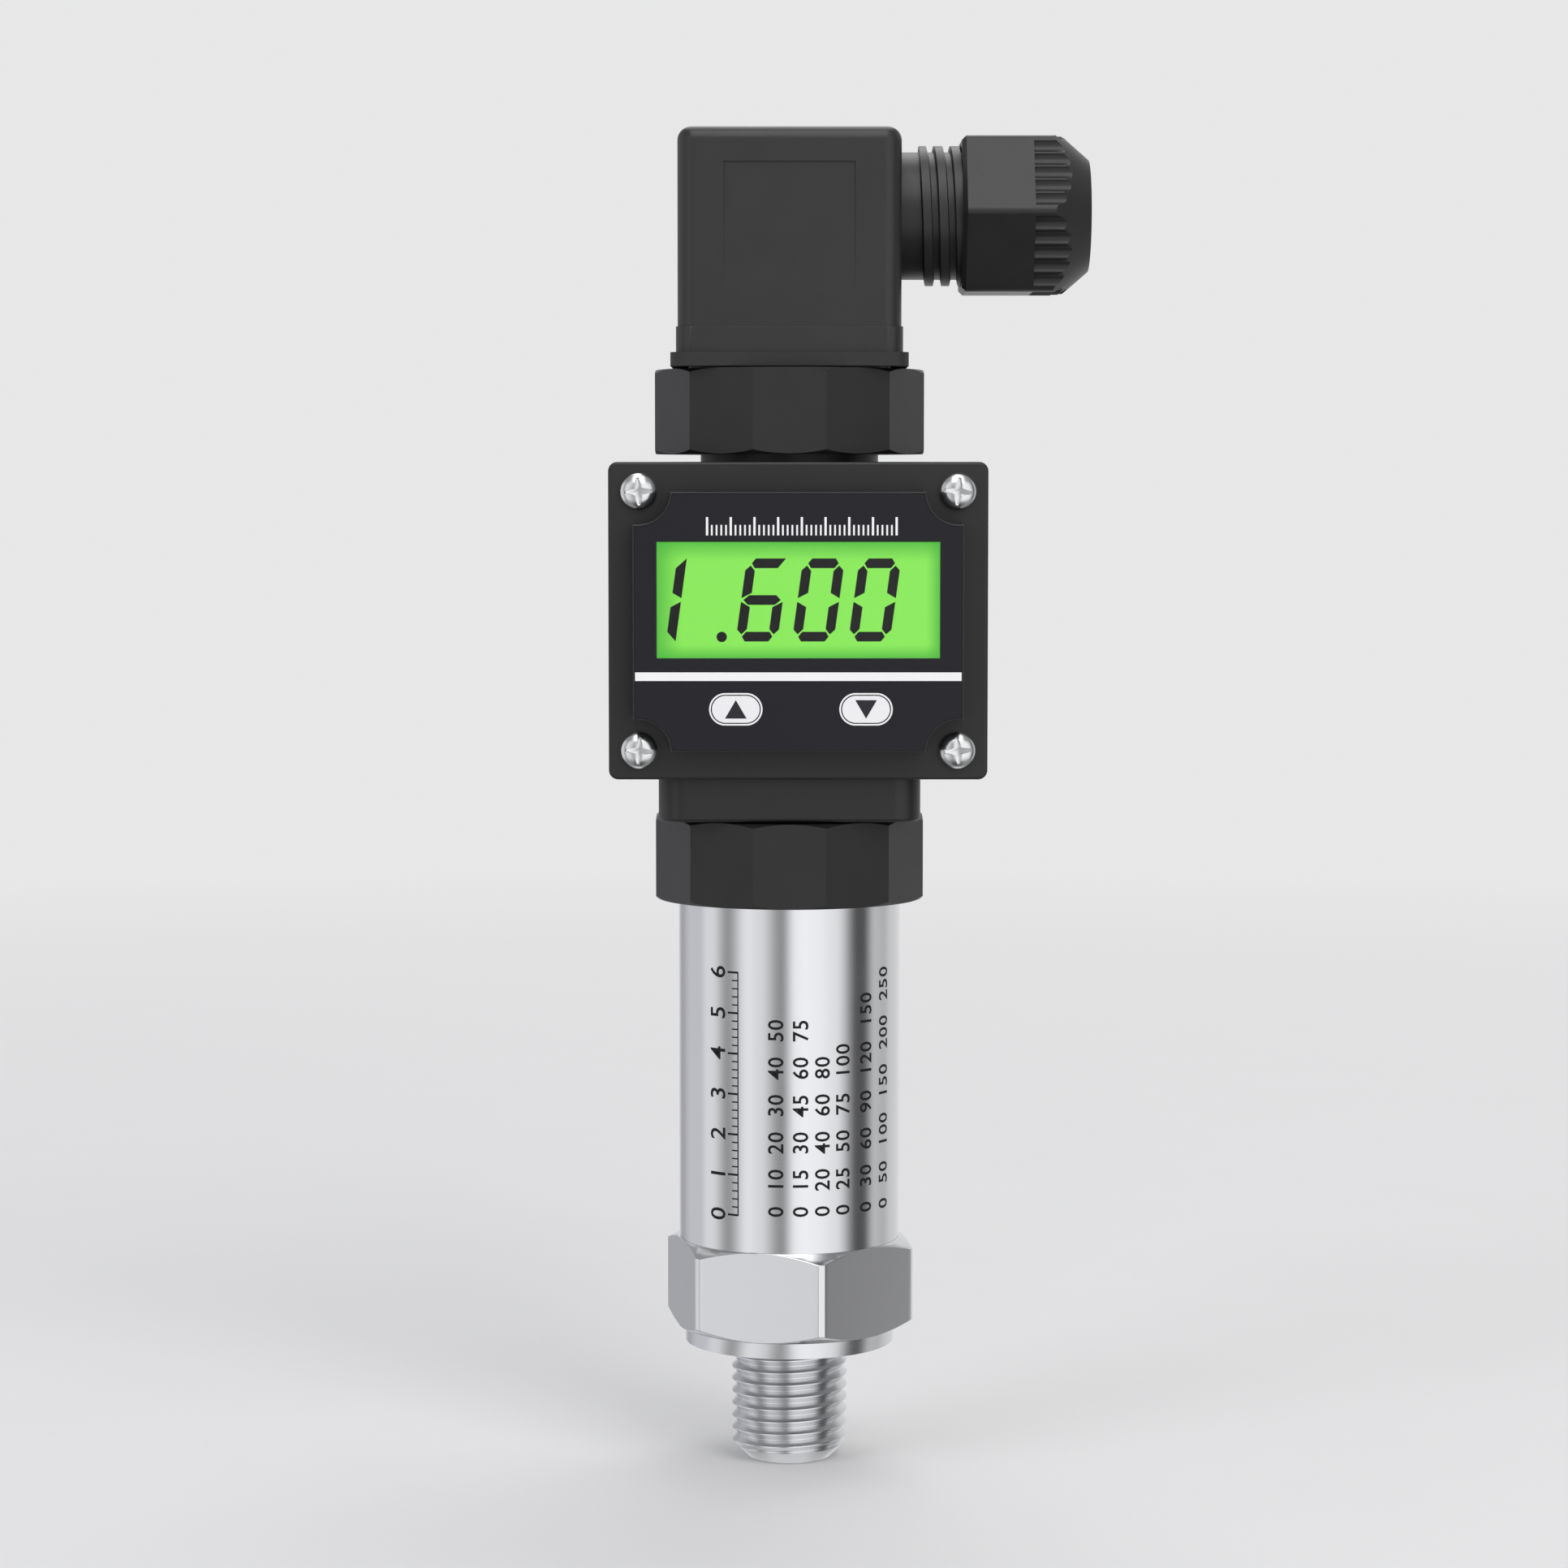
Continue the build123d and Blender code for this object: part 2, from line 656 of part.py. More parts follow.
# Lid: plate, raised frame, window and key holes
with BuildPart() as display_lid:
    with BuildSketch(face_plane(seam_y)):
        RectangleRounded(box_w, box_h, box_corner_r)
    extrude(amount=lid_plate_t)
    fillet(display_lid.faces().sort_by(Axis.Y)[0].edges(), lid_edge_r)
    with BuildSketch(face_plane(plate_y)):
        add(bezel_outline.sketch)
    extrude(amount=bezel_rise)
    fillet(display_lid.faces().sort_by(Axis.Y)[0].edges(), bezel_edge_r)
    with BuildSketch(face_plane(seam_y)):
        offset(bezel_outline.sketch, amount=-bezel_wall, kind=Kind.ARC)
    extrude(amount=seam_y - bezel_inner_y, mode=Mode.SUBTRACT)
    with BuildSketch(face_plane(film_back_y)):
        offset(bezel_outline.sketch, amount=-film_margin - bezel_edge_r, kind=Kind.ARC)
    extrude(amount=film_t, mode=Mode.SUBTRACT)
    with BuildSketch(face_plane(bezel_inner_y)):
        with Locations((0, window_z)):
            Rectangle(window_w, window_h)
        for key_x in key_xs:
            with Locations((key_x, key_z)):
                SlotOverall(key_w + 2 * key_gap, key_h + 2 * key_gap)
    extrude(amount=bezel_wall, mode=Mode.SUBTRACT)
    with BuildSketch(face_plane(seam_y)):
        with screw_places:
            Circle(lid_screw_d / 2 + slide_gap)
    extrude(amount=lid_plate_t, mode=Mode.SUBTRACT)
save(display_lid.part, "display_lid")

# Printed film on the frame's front
with BuildPart() as face_film:
    with BuildSketch(face_plane(film_back_y)):
        offset(bezel_outline.sketch, amount=-film_margin - bezel_edge_r - seat_gap, kind=Kind.ARC)
        with Locations((0, window_z)):
            Rectangle(window_w, window_h, mode=Mode.SUBTRACT)
        for key_x in key_xs:
            with Locations((key_x, key_z)):
                SlotOverall(key_w + 2 * key_gap, key_h + 2 * key_gap, mode=Mode.SUBTRACT)
    extrude(amount=film_t)
save(face_film.part, "face_film")

# Clear pane, liquid-crystal panel and backlight behind the window
with BuildPart() as display_window:
    with BuildSketch(face_plane(bezel_inner_y)):
        with Locations((0, window_z)):
            Rectangle(window_w - 2 * seat_gap, window_h - 2 * seat_gap)
    extrude(amount=bezel_wall - film_t / 2)
save(display_window.part, "display_window")

with BuildPart() as lcd_panel:
    with BuildSketch(face_plane(lcd_back_y)):
        with Locations((0, window_z)):
            Rectangle(lcd_w, lcd_h)
    extrude(amount=lcd_t)
save(lcd_panel.part, "lcd_panel")

with BuildPart() as lcd_backlight:
    with BuildSketch(face_plane(backlight_back_y)):
        with Locations((0, window_z)):
            Rectangle(window_w, lcd_h)
    extrude(amount=backlight_t)
save(lcd_backlight.part, "lcd_backlight")

# Display board, cut to the frame's inside, with its chips
with BuildPart() as display_board:
    with BuildSketch(face_plane(board_back_y)):
        offset(bezel_outline.sketch, amount=-bezel_wall - skin_gap, kind=Kind.ARC)
    extrude(amount=display_board_t)
    with BuildSketch(face_plane(board_back_y)):
        with GridLocations(2 * chip_w, 0, 2, 1):
            Rectangle(chip_w, chip_h)
    extrude(amount=-chip_thickness)
save(display_board.part, "display_board")

# Keys: an oval cap with a flange behind the frame and a stem on the switch's plunger
for key_name, key_x in zip(("up", "down"), key_xs):
    with BuildPart() as key:
        with BuildSketch(face_plane(bezel_inner_y + seat_gap)):
            with Locations((key_x, key_z)):
                SlotOverall(key_w, key_h)
        extrude(amount=bezel_wall + seat_gap + key_proud)
        with BuildSketch(face_plane(bezel_inner_y + seat_gap)):
            with Locations((key_x, key_z)):
                SlotOverall(key_w + 2 * key_flange_margin, key_h + 2 * key_flange_margin)
        extrude(amount=-key_flange_t)
        with BuildSketch(face_plane(plunger_front_y)):
            with Locations((key_x, key_z)):
                Circle(key_stem_d / 2)
        extrude(amount=plunger_front_y - bezel_inner_y - seat_gap)
    save(key.part, f"{key_name}_key")

    with BuildPart() as switch:
        with BuildSketch(face_plane(board_front_y)):
            with Locations((key_x, key_z)):
                Rectangle(switch_w, switch_w)
        extrude(amount=switch_h)
        with BuildSketch(face_plane(switch_front_y)):
            with Locations((key_x, key_z)):
                Circle(plunger_d / 2 + slide_gap)
        extrude(amount=-plunger_sink - 2 * key_travel, mode=Mode.SUBTRACT)
    save(switch.part, f"{key_name}_switch")

    with BuildPart() as plunger:
        with BuildSketch(face_plane(switch_front_y + plunger_sink)):
            with Locations((key_x, key_z)):
                Circle(plunger_d / 2)
        extrude(amount=plunger_sink + plunger_show)
    save(plunger.part, f"{key_name}_switch_plunger")

# Pan-head lid screws with a cross recess
for number, place in enumerate(screw_places):
    screw_x = place.position.X
    screw_z = place.position.Y
    with BuildPart() as lid_screw:
        with BuildSketch(face_plane(plate_y)):
            with Locations((screw_x, screw_z)):
                Circle(lid_screw_head_d / 2)
        extrude(amount=lid_screw_head_h)
        fillet(lid_screw.edges().sort_by(Axis.Y)[0], lid_screw_head_r)
        with BuildSketch(face_plane(plate_y)):
            with Locations((screw_x, screw_z)):
                Circle(lid_screw_d / 2)
        extrude(amount=-lid_plate_t - lid_screw_length + skin_gap)
        with BuildSketch(face_plane(plate_y - lid_screw_head_h)):
            with Locations((screw_x, screw_z)):
                Rectangle(cross_length, cross_w)
                Rectangle(cross_w, cross_length)
        extrude(amount=-cross_depth, mode=Mode.SUBTRACT)
    save(lid_screw.part, f"lid_screw_{number + 1}")

# Upper contact base, screwed into the housing's roof, and its contacts
save(contact_base(upper_base_z, upper_spigot_d, upper_spigot_length), "upper_contact_base")
save(threaded_insert(upper_base_z), "upper_insert")
for number in range(contact_count):
    save(contact_blade(number, upper_base_z), f"upper_blade_{number + 1}")
upper_gasket_z = upper_base_top_z + seat_pad_h
save(flat_gasket(upper_gasket_z), "plug_gasket")

# Cable plug: a square hood with a skirt, a front panel that deepens upwards and the gland's spigot
plug_block_z = upper_gasket_z + block_lift
screw_seat_z = plug_top_z - plug_screw_head_h - plug_screw_washer_t
with BuildPart() as plug_housing:
    with BuildSketch(Plane.XY.offset(plug_bottom_z)):
        RectangleRounded(plug_w, plug_w, plug_corner_r)
    extrude(amount=plug_skirt_h + plug_h)
    fillet(plug_housing.faces().sort_by(Axis.Z)[-1].edges(), plug_top_r)
    with BuildSketch(Plane.XY.offset(plug_bottom_z)):
        RectangleRounded(plug_skirt_w, plug_skirt_w, plug_corner_r)
    extrude(amount=plug_skirt_h)
    with BuildSketch(gland_plane(0)):
        Circle(gland_core_d / 2)
    extrude(amount=spigot_end_x)
    for ridge in range(gland_ridge_count):
        with BuildSketch(gland_plane(gland_x + gland_ridge_first + ridge * gland_ridge_pitch)):
            Circle(gland_thread_d / 2)
        extrude(amount=gland_ridge_w)
    with BuildSketch(gland_plane(nut_back_x)):
        Circle(gland_thread_d / 2)
    extrude(amount=spigot_end_x - nut_back_x)
    with BuildSketch(Plane.XY.offset(plug_bottom_z)):
        RectangleRounded(block_hole_w, block_hole_w, block_corner_r)
    extrude(amount=plug_skirt_h + plug_h - plug_roof, mode=Mode.SUBTRACT)
    with BuildSketch(gland_plane(0)):
        Circle(gland_bore_d / 2)
    extrude(amount=spigot_end_x, mode=Mode.SUBTRACT)
    with BuildSketch(gland_plane(seal_back_x)):
        Circle(seal_d / 2 + slide_gap)
    extrude(amount=spigot_end_x - seal_back_x, mode=Mode.SUBTRACT)
    with BuildSketch(Plane.XY.offset(screw_seat_z)):
        Circle(plug_screw_head_d / 2 + skin_gap)
    extrude(amount=plug_top_z - screw_seat_z, mode=Mode.SUBTRACT)
    with BuildSketch(Plane.XY.offset(plug_top_z - plug_roof)):
        Circle(screw_d / 2 + slide_gap)
    extrude(amount=plug_roof, mode=Mode.SUBTRACT)
    panel_z = plug_top_z - panel_top_drop - panel_h / 2
    panel_y = (panel_top_depth + panel_bottom_depth - plug_w) / 2
    panel_lean = (panel_top_depth - panel_bottom_depth) / panel_h
    with BuildSketch(Plane(origin=(0, panel_y, panel_z), x_dir=(1, 0, 0), z_dir=(0, -1, panel_lean))):
        Rectangle(panel_w, panel_h)
        fillet(vertices().sort_by(Axis.X)[-2:].sort_by(Axis.Z)[-1], panel_corner_r)
    extrude(amount=2 * panel_top_depth, mode=Mode.SUBTRACT)
save(plug_housing.part, "plug_housing")

# Contact block in the plug, its sockets, centre screw and the washer under the screw's head
save(contact_block(plug_block_z), "plug_contact_block")
for number in range(contact_count):
    save(contact_socket(number, plug_block_z), f"plug_socket_{number + 1}")
upper_insert_z = upper_base_top_z + boss_h - insert_h
head_seat_z = screw_seat_z + plug_screw_washer_t
save(centre_screw(head_seat_z, upper_insert_z, plug_screw_head_d, plug_screw_head_h), "plug_screw")
with BuildPart() as plug_screw_washer:
    with BuildSketch(Plane.XY.offset(screw_seat_z)):
        Circle(plug_screw_head_d / 2)
        Circle(screw_d / 2 + seat_gap, mode=Mode.SUBTRACT)
    extrude(amount=plug_screw_washer_t)
save(plug_screw_washer.part, "plug_screw_washer")

# Rubber seal that grips the cable, with a nose in the nut's mouth
with BuildPart() as gland_seal:
    with BuildSketch(Plane.XZ):
        with BuildLine():
            Polyline(
                (seal_back_x, gland_z + cable_hole_d / 2),
                (seal_back_x, gland_z + seal_d / 2),
                (seal_shoulder_x, gland_z + seal_d / 2),
                (seal_shoulder_x + (seal_d - seal_nose_d) / 2, gland_z + seal_nose_d / 2),
                (seal_nose_x, gland_z + seal_nose_d / 2),
                (seal_nose_x, gland_z + cable_hole_d / 2),
                close=True,
            )
        make_face()
    revolve(axis=Axis((0, 0, gland_z), (1, 0, 0)))
save(gland_seal.part, "gland_seal")

# Slip washer that lets the nut turn on the seal
with BuildPart() as gland_washer:
    with BuildSketch(gland_plane(washer_x)):
        Circle(washer_d / 2)
        Circle(seal_d / 2 + slide_gap, mode=Mode.SUBTRACT)
    extrude(amount=washer_t)
save(gland_washer.part, "gland_washer")

# Gland nut: hexagon, flutes, cone and a mouth for the seal's nose
nut_corner_r = nut_af / 2 / cos(pi / 6)
nut_cone_x = nut_end_x - nut_cone_length
nut_bore_r = gland_thread_d / 2 + slide_gap
nut_shoulder_x = washer_x + washer_t + seat_gap
nut_mouth_r = seal_nose_d / 2 + slide_gap
cone_slope = (nut_af / 2 - nut_end_r) / nut_cone_length
with BuildPart() as gland_nut:
    with BuildSketch(gland_plane(nut_back_x)):
        RegularPolygon(nut_af / 2, 6, major_radius=False, rotation=0)
    extrude(amount=nut_length)
    fillet(gland_nut.edges().filter_by(Axis.X), nut_edge_r)
    chamfer(gland_nut.faces().sort_by(Axis.X)[0].edges(), nut_back_bevel)
    for face_index in range(6):
        with BuildSketch(gland_plane(nut_cone_x - flute_length)):
            with PolarLocations(0, 1, 60 * face_index + 30):
                with GridLocations(0, flute_pitch, 1, flute_count):
                    with Locations((nut_af / 2 + flute_r - flute_depth, 0)):
                        Circle(flute_r)
        extrude(amount=nut_length, mode=Mode.SUBTRACT)
    with BuildSketch(Plane.XZ):
        with BuildLine():
            front_chamfer = (nut_corner_r - nut_end_r) / cone_slope
            Polyline(
                (nut_back_x, gland_z),
                (nut_back_x, gland_z + nut_corner_r),
                (nut_end_x - front_chamfer, gland_z + nut_corner_r),
                (nut_end_x, gland_z + nut_end_r),
                (nut_end_x, gland_z),
                close=True,
            )
        make_face()
    revolve(axis=Axis((0, 0, gland_z), (1, 0, 0)), mode=Mode.INTERSECT)
    with BuildSketch(Plane.XZ):
        with BuildLine():
            inner_cone_x = nut_shoulder_x + nut_lip_t
            Polyline(
                (nut_back_x, gland_z),
                (nut_back_x, gland_z + nut_bore_r),
                (nut_shoulder_x, gland_z + nut_bore_r),
                (nut_shoulder_x, gland_z + seal_d / 2 + slide_gap),
                (inner_cone_x, gland_z + seal_d / 2 + slide_gap),
                (inner_cone_x + seal_d / 2 + slide_gap - nut_mouth_r, gland_z + nut_mouth_r),
                (nut_end_x, gland_z + nut_mouth_r),
                (nut_end_x, gland_z),
                close=True,
            )
        make_face()
    revolve(axis=Axis((0, 0, gland_z), (1, 0, 0)), mode=Mode.SUBTRACT)
save(gland_nut.part, "gland_nut")
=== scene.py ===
# %% [markdown]
# # A pressure transmitter in a pale studio
# The steel body, the display and the cable plug come from a model made at real size, the frame.
# This lesson dresses that frame. It gives every part a surface, and models by hand what the frame
# leaves plain: the threads, the digits, the printing, the screws and the soft edges.
# Lengths are written in millimetres and multiplied by mm, because Blender counts in metres.

# %% Load the frame
import json
import math

import bmesh
import bpy
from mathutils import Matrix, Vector


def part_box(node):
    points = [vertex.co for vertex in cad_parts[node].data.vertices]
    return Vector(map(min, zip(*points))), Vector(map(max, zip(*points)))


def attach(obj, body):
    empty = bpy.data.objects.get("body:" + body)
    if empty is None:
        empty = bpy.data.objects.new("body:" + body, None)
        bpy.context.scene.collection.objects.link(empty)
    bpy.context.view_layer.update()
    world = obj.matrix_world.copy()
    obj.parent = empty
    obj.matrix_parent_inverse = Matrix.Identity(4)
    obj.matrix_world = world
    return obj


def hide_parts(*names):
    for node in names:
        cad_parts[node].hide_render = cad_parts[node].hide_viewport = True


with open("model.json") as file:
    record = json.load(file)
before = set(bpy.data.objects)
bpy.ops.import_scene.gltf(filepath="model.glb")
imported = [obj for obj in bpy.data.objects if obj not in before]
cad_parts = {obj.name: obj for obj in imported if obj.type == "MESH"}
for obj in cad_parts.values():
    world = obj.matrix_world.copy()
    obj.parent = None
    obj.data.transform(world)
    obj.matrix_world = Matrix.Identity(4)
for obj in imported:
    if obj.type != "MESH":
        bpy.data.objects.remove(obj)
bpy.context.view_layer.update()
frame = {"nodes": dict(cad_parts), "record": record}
nodes = frame["nodes"]
mm = 0.001


def middle_of(node):
    """The middle of a frame node's box."""
    low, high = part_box(node)
    return (low + high) / 2


# %% [markdown]
# ## The camera
# The photograph was taken a little above the display, tipped down by four degrees, with a long lens
# that keeps the upright edges nearly parallel. The focal length in pixels gives the lens.

# %% Camera
photo_side_px = 1932
focal_px = 4950
tilt_down = math.radians(4.26)
camera_data = bpy.data.cameras.new("camera")
camera_data.sensor_width = 36
camera_data.lens = camera_data.sensor_width * focal_px / photo_side_px
camera = bpy.data.objects.new("camera", camera_data)
camera.location = (-0.65 * mm, -484 * mm, 103.75 * mm)
camera.rotation_euler = (math.pi / 2 - tilt_down, 0, 0)
bpy.context.scene.collection.objects.link(camera)
bpy.context.scene.camera = camera
bpy.context.scene.view_settings.view_transform = "Standard"
print("lens", round(camera_data.lens, 1), "mm")

# %% [markdown]
# ## Numbers that run over a surface
# A finish is never one flat value. Its pattern is maths on sockets, and a row of Math nodes is hard
# to read, so this small class wraps a socket and lets Python's own operators add the nodes.

# %% Numbers on sockets


class Number:
    """A value that changes over a surface, with Python's operators."""

    def __init__(self, finish, socket):
        self.finish = finish
        self.socket = socket

    def math(self, operation, *others):
        sockets = dict(enumerate((self, *others)))
        return self.finish.node("ShaderNodeMath", {"operation": operation}, sockets)

    def clamped(self):
        """The same value, held between 0 and 1."""
        return self.math("MINIMUM", 1.0).math("MAXIMUM", 0.0)

    def __add__(self, other):
        return self.math("ADD", other)

    def __sub__(self, other):
        return self.math("SUBTRACT", other)

    def __rsub__(self, other):
        return self.math("MULTIPLY", -1) + other

    def __mul__(self, other):
        return self.math("MULTIPLY", other)

    def __truediv__(self, other):
        return self.math("DIVIDE", other)

    __radd__ = __add__
    __rmul__ = __mul__


# %% [markdown]
# ## A finish
# One method adds every node: it takes the type, the settings and the sockets, and hands back the
# node's first output as a number. The rest are short names for the patterns that most finishes use.

# %% Finishes


def linear(red, green, blue):
    """A colour as a screen shows it, 0 to 255, as the light value that a shader needs."""
    channels = []
    for value in (red, green, blue):
        share = value / 255
        channels.append(share / 12.92 if share <= 0.04045 else ((share + 0.055) / 1.055) ** 2.4)
    return (*channels, 1)


class Finish:
    """A material under construction."""

    def __init__(self, name, constants):
        self.material = bpy.data.materials.new(name)
        self.material.use_nodes = True
        self.tree = self.material.node_tree
        self.shader = self.tree.nodes["Principled BSDF"]
        for socket, value in constants.items():
            self.shader.inputs[socket].default_value = value

    def node(self, kind, settings, sockets, output=0):
        """Add a node: first its settings, then a value or a link for each socket."""
        node = self.tree.nodes.new(kind)
        for setting, value in settings.items():
            if setting == "stops":
                self.set_stops(node.color_ramp, value)
            else:
                setattr(node, setting, value)
        for socket, value in sockets.items():
            if isinstance(value, Number):
                self.tree.links.new(value.socket, node.inputs[socket])
            else:
                node.inputs[socket].default_value = value
        return Number(self, node.outputs[output])

    def set_stops(self, ramp, stops):
        """Give a ramp its stops, each a position from 0 to 1 and a colour."""
        ramp.interpolation = "EASE"
        while len(ramp.elements) < len(stops):
            ramp.elements.new(0.5)
        for element, (position, colour) in zip(ramp.elements, stops):
            element.position = position
            element.color = colour

    def feed(self, socket, number):
        """Link a number to the shader."""
        self.tree.links.new(number.socket, self.shader.inputs[socket])

    def point(self):
        """The place on the part, in metres."""
        return self.node("ShaderNodeTexCoord", {}, {}, "Object")

    def place(self):
        """The place on the part as three numbers."""
        point = self.point()
        return [self.node("ShaderNodeSeparateXYZ", {}, {0: point}, axis) for axis in range(3)]

    def join(self, x, y, z):
        return self.node("ShaderNodeCombineXYZ", {}, {0: x, 1: y, 2: z})

    def noise(self, vector, scale, detail=2.0):
        sockets = {"Vector": vector, "Scale": scale, "Detail": detail, "Roughness": 0.6}
        return self.node("ShaderNodeTexNoise", {}, sockets)

    def between(self, factor, low, high):
        """A colour between two others."""
        settings = {"data_type": "RGBA"}
        return self.node("ShaderNodeMix", settings, {0: factor, 6: low, 7: high}, 2)

    def bump(self, height, strength, distance):
        sockets = {"Height": height, "Strength": strength, "Distance": distance}
        self.feed("Normal", self.node("ShaderNodeBump", {}, sockets))


def moulded(name, colour, roughness, grain, depth=0.012):
    """Moulded plastic: a fine spark-eroded grain, with cloudy patches a little more or less matt."""
    finish = Finish(name, {"IOR": 1.46})
    point = finish.point()
    cloud = finish.noise(point, 180, 3.0)
    fine = finish.noise(point, 1000 / grain, 1.0)
    dark = tuple(channel * 0.86 for channel in colour[:3])
    light = tuple(channel * 1.1 for channel in colour[:3])
    finish.feed("Base Color", finish.between(cloud, (*dark, 1), (*light, 1)))
    finish.feed("Roughness", cloud * 0.12 + fine * 0.08 + (roughness - 0.1))
    finish.bump(fine, 0.35, depth * mm)
    return finish.material


def turned(name, colour, roughness, pitch, depth):
    """Steel from a lathe: fine rings round the Z axis, which also stretch its reflections along it."""
    finish = Finish(name, {"Metallic": 1.0})
    x, y, z = finish.place()
    radius = (x * x + y * y).math("SQRT")
    rings = finish.noise(finish.join(radius, 0.0, z), 1000 / pitch)
    cloud = finish.noise(finish.point(), 120)
    dark = tuple(channel * 0.93 for channel in colour[:3])
    finish.feed("Base Color", finish.between(cloud * 0.6 + rings * 0.4, (*dark, 1), colour))
    finish.feed("Roughness", rings * 0.12 + cloud * 0.06 + (roughness - 0.09))
    finish.bump(rings, 0.25, depth * mm)
    return finish.material


def plated(name, colour, roughness):
    """Bright plating on a pressed head: no turning marks, only a faint waviness."""
    finish = Finish(name, {"Metallic": 1.0})
    point = finish.point()
    wave = finish.noise(point, 900, 1.0)
    cloud = finish.noise(point, 300)
    dark = tuple(channel * 0.92 for channel in colour[:3])
    finish.feed("Base Color", finish.between(cloud, (*dark, 1), colour))
    finish.feed("Roughness", cloud * 0.08 + (roughness - 0.04))
    finish.bump(wave, 0.15, 0.004 * mm)
    return finish.material


# %% [markdown]
# ## The finishes of this instrument
# Three blacks lie side by side in the photograph: the housing and its lid, the nylon of the plug and
# the spanner grips, and the bluish printed film. The steel is turned, and the screws are plated.

# %% Plastics and rubber
housing_black = moulded("housing black", linear(32, 32, 32), 0.4, 0.16)
nylon_black = moulded("nylon black", linear(32, 32, 33), 0.36, 0.22)
plug_black = moulded("plug black", linear(40, 40, 41), 0.38, 0.22)
gland_grey = moulded("gland grey", linear(34, 34, 35), 0.38, 0.3)
rubber_black = moulded("rubber black", linear(40, 40, 41), 0.6, 0.1, 0.02)
switch_black = moulded("switch black", linear(36, 36, 38), 0.4, 0.2)
guide_milk = moulded("light guide milk", linear(160, 215, 140), 0.4, 0.3)
print("moulded finishes", [m.name for m in bpy.data.materials if "black" in m.name])

# %% Metals
steel = turned("turned steel", linear(226, 227, 229), 0.22, 0.12, 0.002)
tube_steel = turned("brushed tube steel", linear(228, 229, 231), 0.15, 0.07, 0.0015)
brass = turned("brass", linear(214, 178, 108), 0.3, 0.1, 0.004)
tin = turned("tin plate", linear(205, 203, 196), 0.3, 0.2, 0.003)
chrome = plated("screw plating", linear(232, 233, 234), 0.24)

# %% [markdown]
# A circuit board is green lacquer over glass cloth. The cloth shows as a fine chequer under the
# lacquer, so two crossed waves press a little relief into it.

# %% Board


def board_finish():
    finish = Finish("board green", {"Roughness": 0.3, "Coat Weight": 0.5, "Coat Roughness": 0.1})
    x, y, z = finish.place()
    cloth_pitch = 0.5 * mm
    turns = 2 * math.pi / cloth_pitch
    weave = (x * turns).math("SINE") * ((y + z) * turns).math("SINE")
    cloud = finish.noise(finish.point(), 300)
    finish.feed("Base Color", finish.between(cloud, linear(16, 74, 40), linear(26, 96, 54)))
    finish.bump(weave, 0.1, 0.01 * mm)
    return finish.material


board_green = board_finish()

# %% [markdown]
# The film on the display is printed polyester, a blue black with a satin face. Its print is a soft
# matt layer, so only the roughness and a shallow orange peel change over it.

# %% Printed film


def film_finish(name, colour, roughness, sheen):
    finish = Finish(name, {"IOR": 1.5, "Specular IOR Level": sheen})
    point = finish.point()
    peel = finish.noise(point, 1600, 1.0)
    cloud = finish.noise(point, 90)
    dark = tuple(channel * 0.94 for channel in colour[:3])
    finish.feed("Base Color", finish.between(cloud, (*dark, 1), colour))
    finish.feed("Roughness", cloud * 0.08 + peel * 0.06 + (roughness - 0.07))
    finish.bump(peel, 0.1, 0.006 * mm)
    return finish.material


film_blue_black = film_finish("film blue black", linear(25, 24, 31), 0.42, 0.28)
print_white = film_finish("print white", linear(243, 243, 244), 0.5, 0.4)
print_dark = film_finish("print dark", linear(38, 38, 44), 0.5, 0.3)
etch_dark = film_finish("etched mark", linear(26, 26, 28), 0.6, 0.2)
key_white = film_finish("key white", linear(238, 238, 240), 0.45, 0.4)

# %% [markdown]
# ## The lit panel
# The panel shines by itself. Its glow is even in the middle and darker towards the frame, most at
# the left and the top: a painted shadow of the window frame. Four ramps that rise from the window's
# edges are multiplied, and the product mixes a deep green with a bright one in the emission colour,
# and likewise in the base colour.

# %% Lit green
window_low, window_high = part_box("display_window")


def lit_green_finish():
    finish = Finish("lit green", {"Roughness": 0.35, "Emission Strength": 1.0})
    x, y, z = finish.place()
    # How far in from each edge of the window the painted shadow of the frame reaches.
    frame_shadow_widths = {"left": 3.4 * mm, "right": 1.8 * mm, "top": 2.6 * mm, "bottom": 1.8 * mm}
    rises = [
        (x - window_low.x) / frame_shadow_widths["left"],
        (window_high.x - x) / frame_shadow_widths["right"],
        (window_high.z - z) / frame_shadow_widths["top"],
        (z - window_low.z) / frame_shadow_widths["bottom"],
    ]
    # The painted frame shadow keeps a little light at the very edge of the window.
    frame_shadow_edge_level = 0.12
    light = None
    for rise in rises:
        soft = (rise + frame_shadow_edge_level).clamped().math("SMOOTH_MIN", 1.0, 0.4)
        light = soft if light is None else light * soft
    # Where the painted frame shadow falls, the emission and the base colour turn to their deep greens.
    finish.feed("Emission Color", finish.between(light, linear(58, 178, 32), linear(143, 243, 80)))
    finish.feed("Base Color", finish.between(light, linear(10, 24, 8), linear(14, 30, 12)))
    return finish.material


lit_green = lit_green_finish()
segment_dark = film_finish("segment dark", linear(8, 7, 10), 0.5, 0.0)
print("window", [round(v / mm, 2) for v in (*window_low, *window_high)])

# %% [markdown]
# The window is a clear pane. Its gloss is all that shows of it, so it lets nearly all light through.

# %% Clear pane


def clear_finish():
    clear = {"Base Color": (1, 1, 1, 1), "IOR": 1.3, "Transmission Weight": 1.0}
    finish = Finish("clear pane", {**clear, "Specular IOR Level": 0.2})
    smear = finish.noise(finish.point(), 140)
    finish.feed("Roughness", smear * 0.03)
    return finish.material


clear_pane = clear_finish()

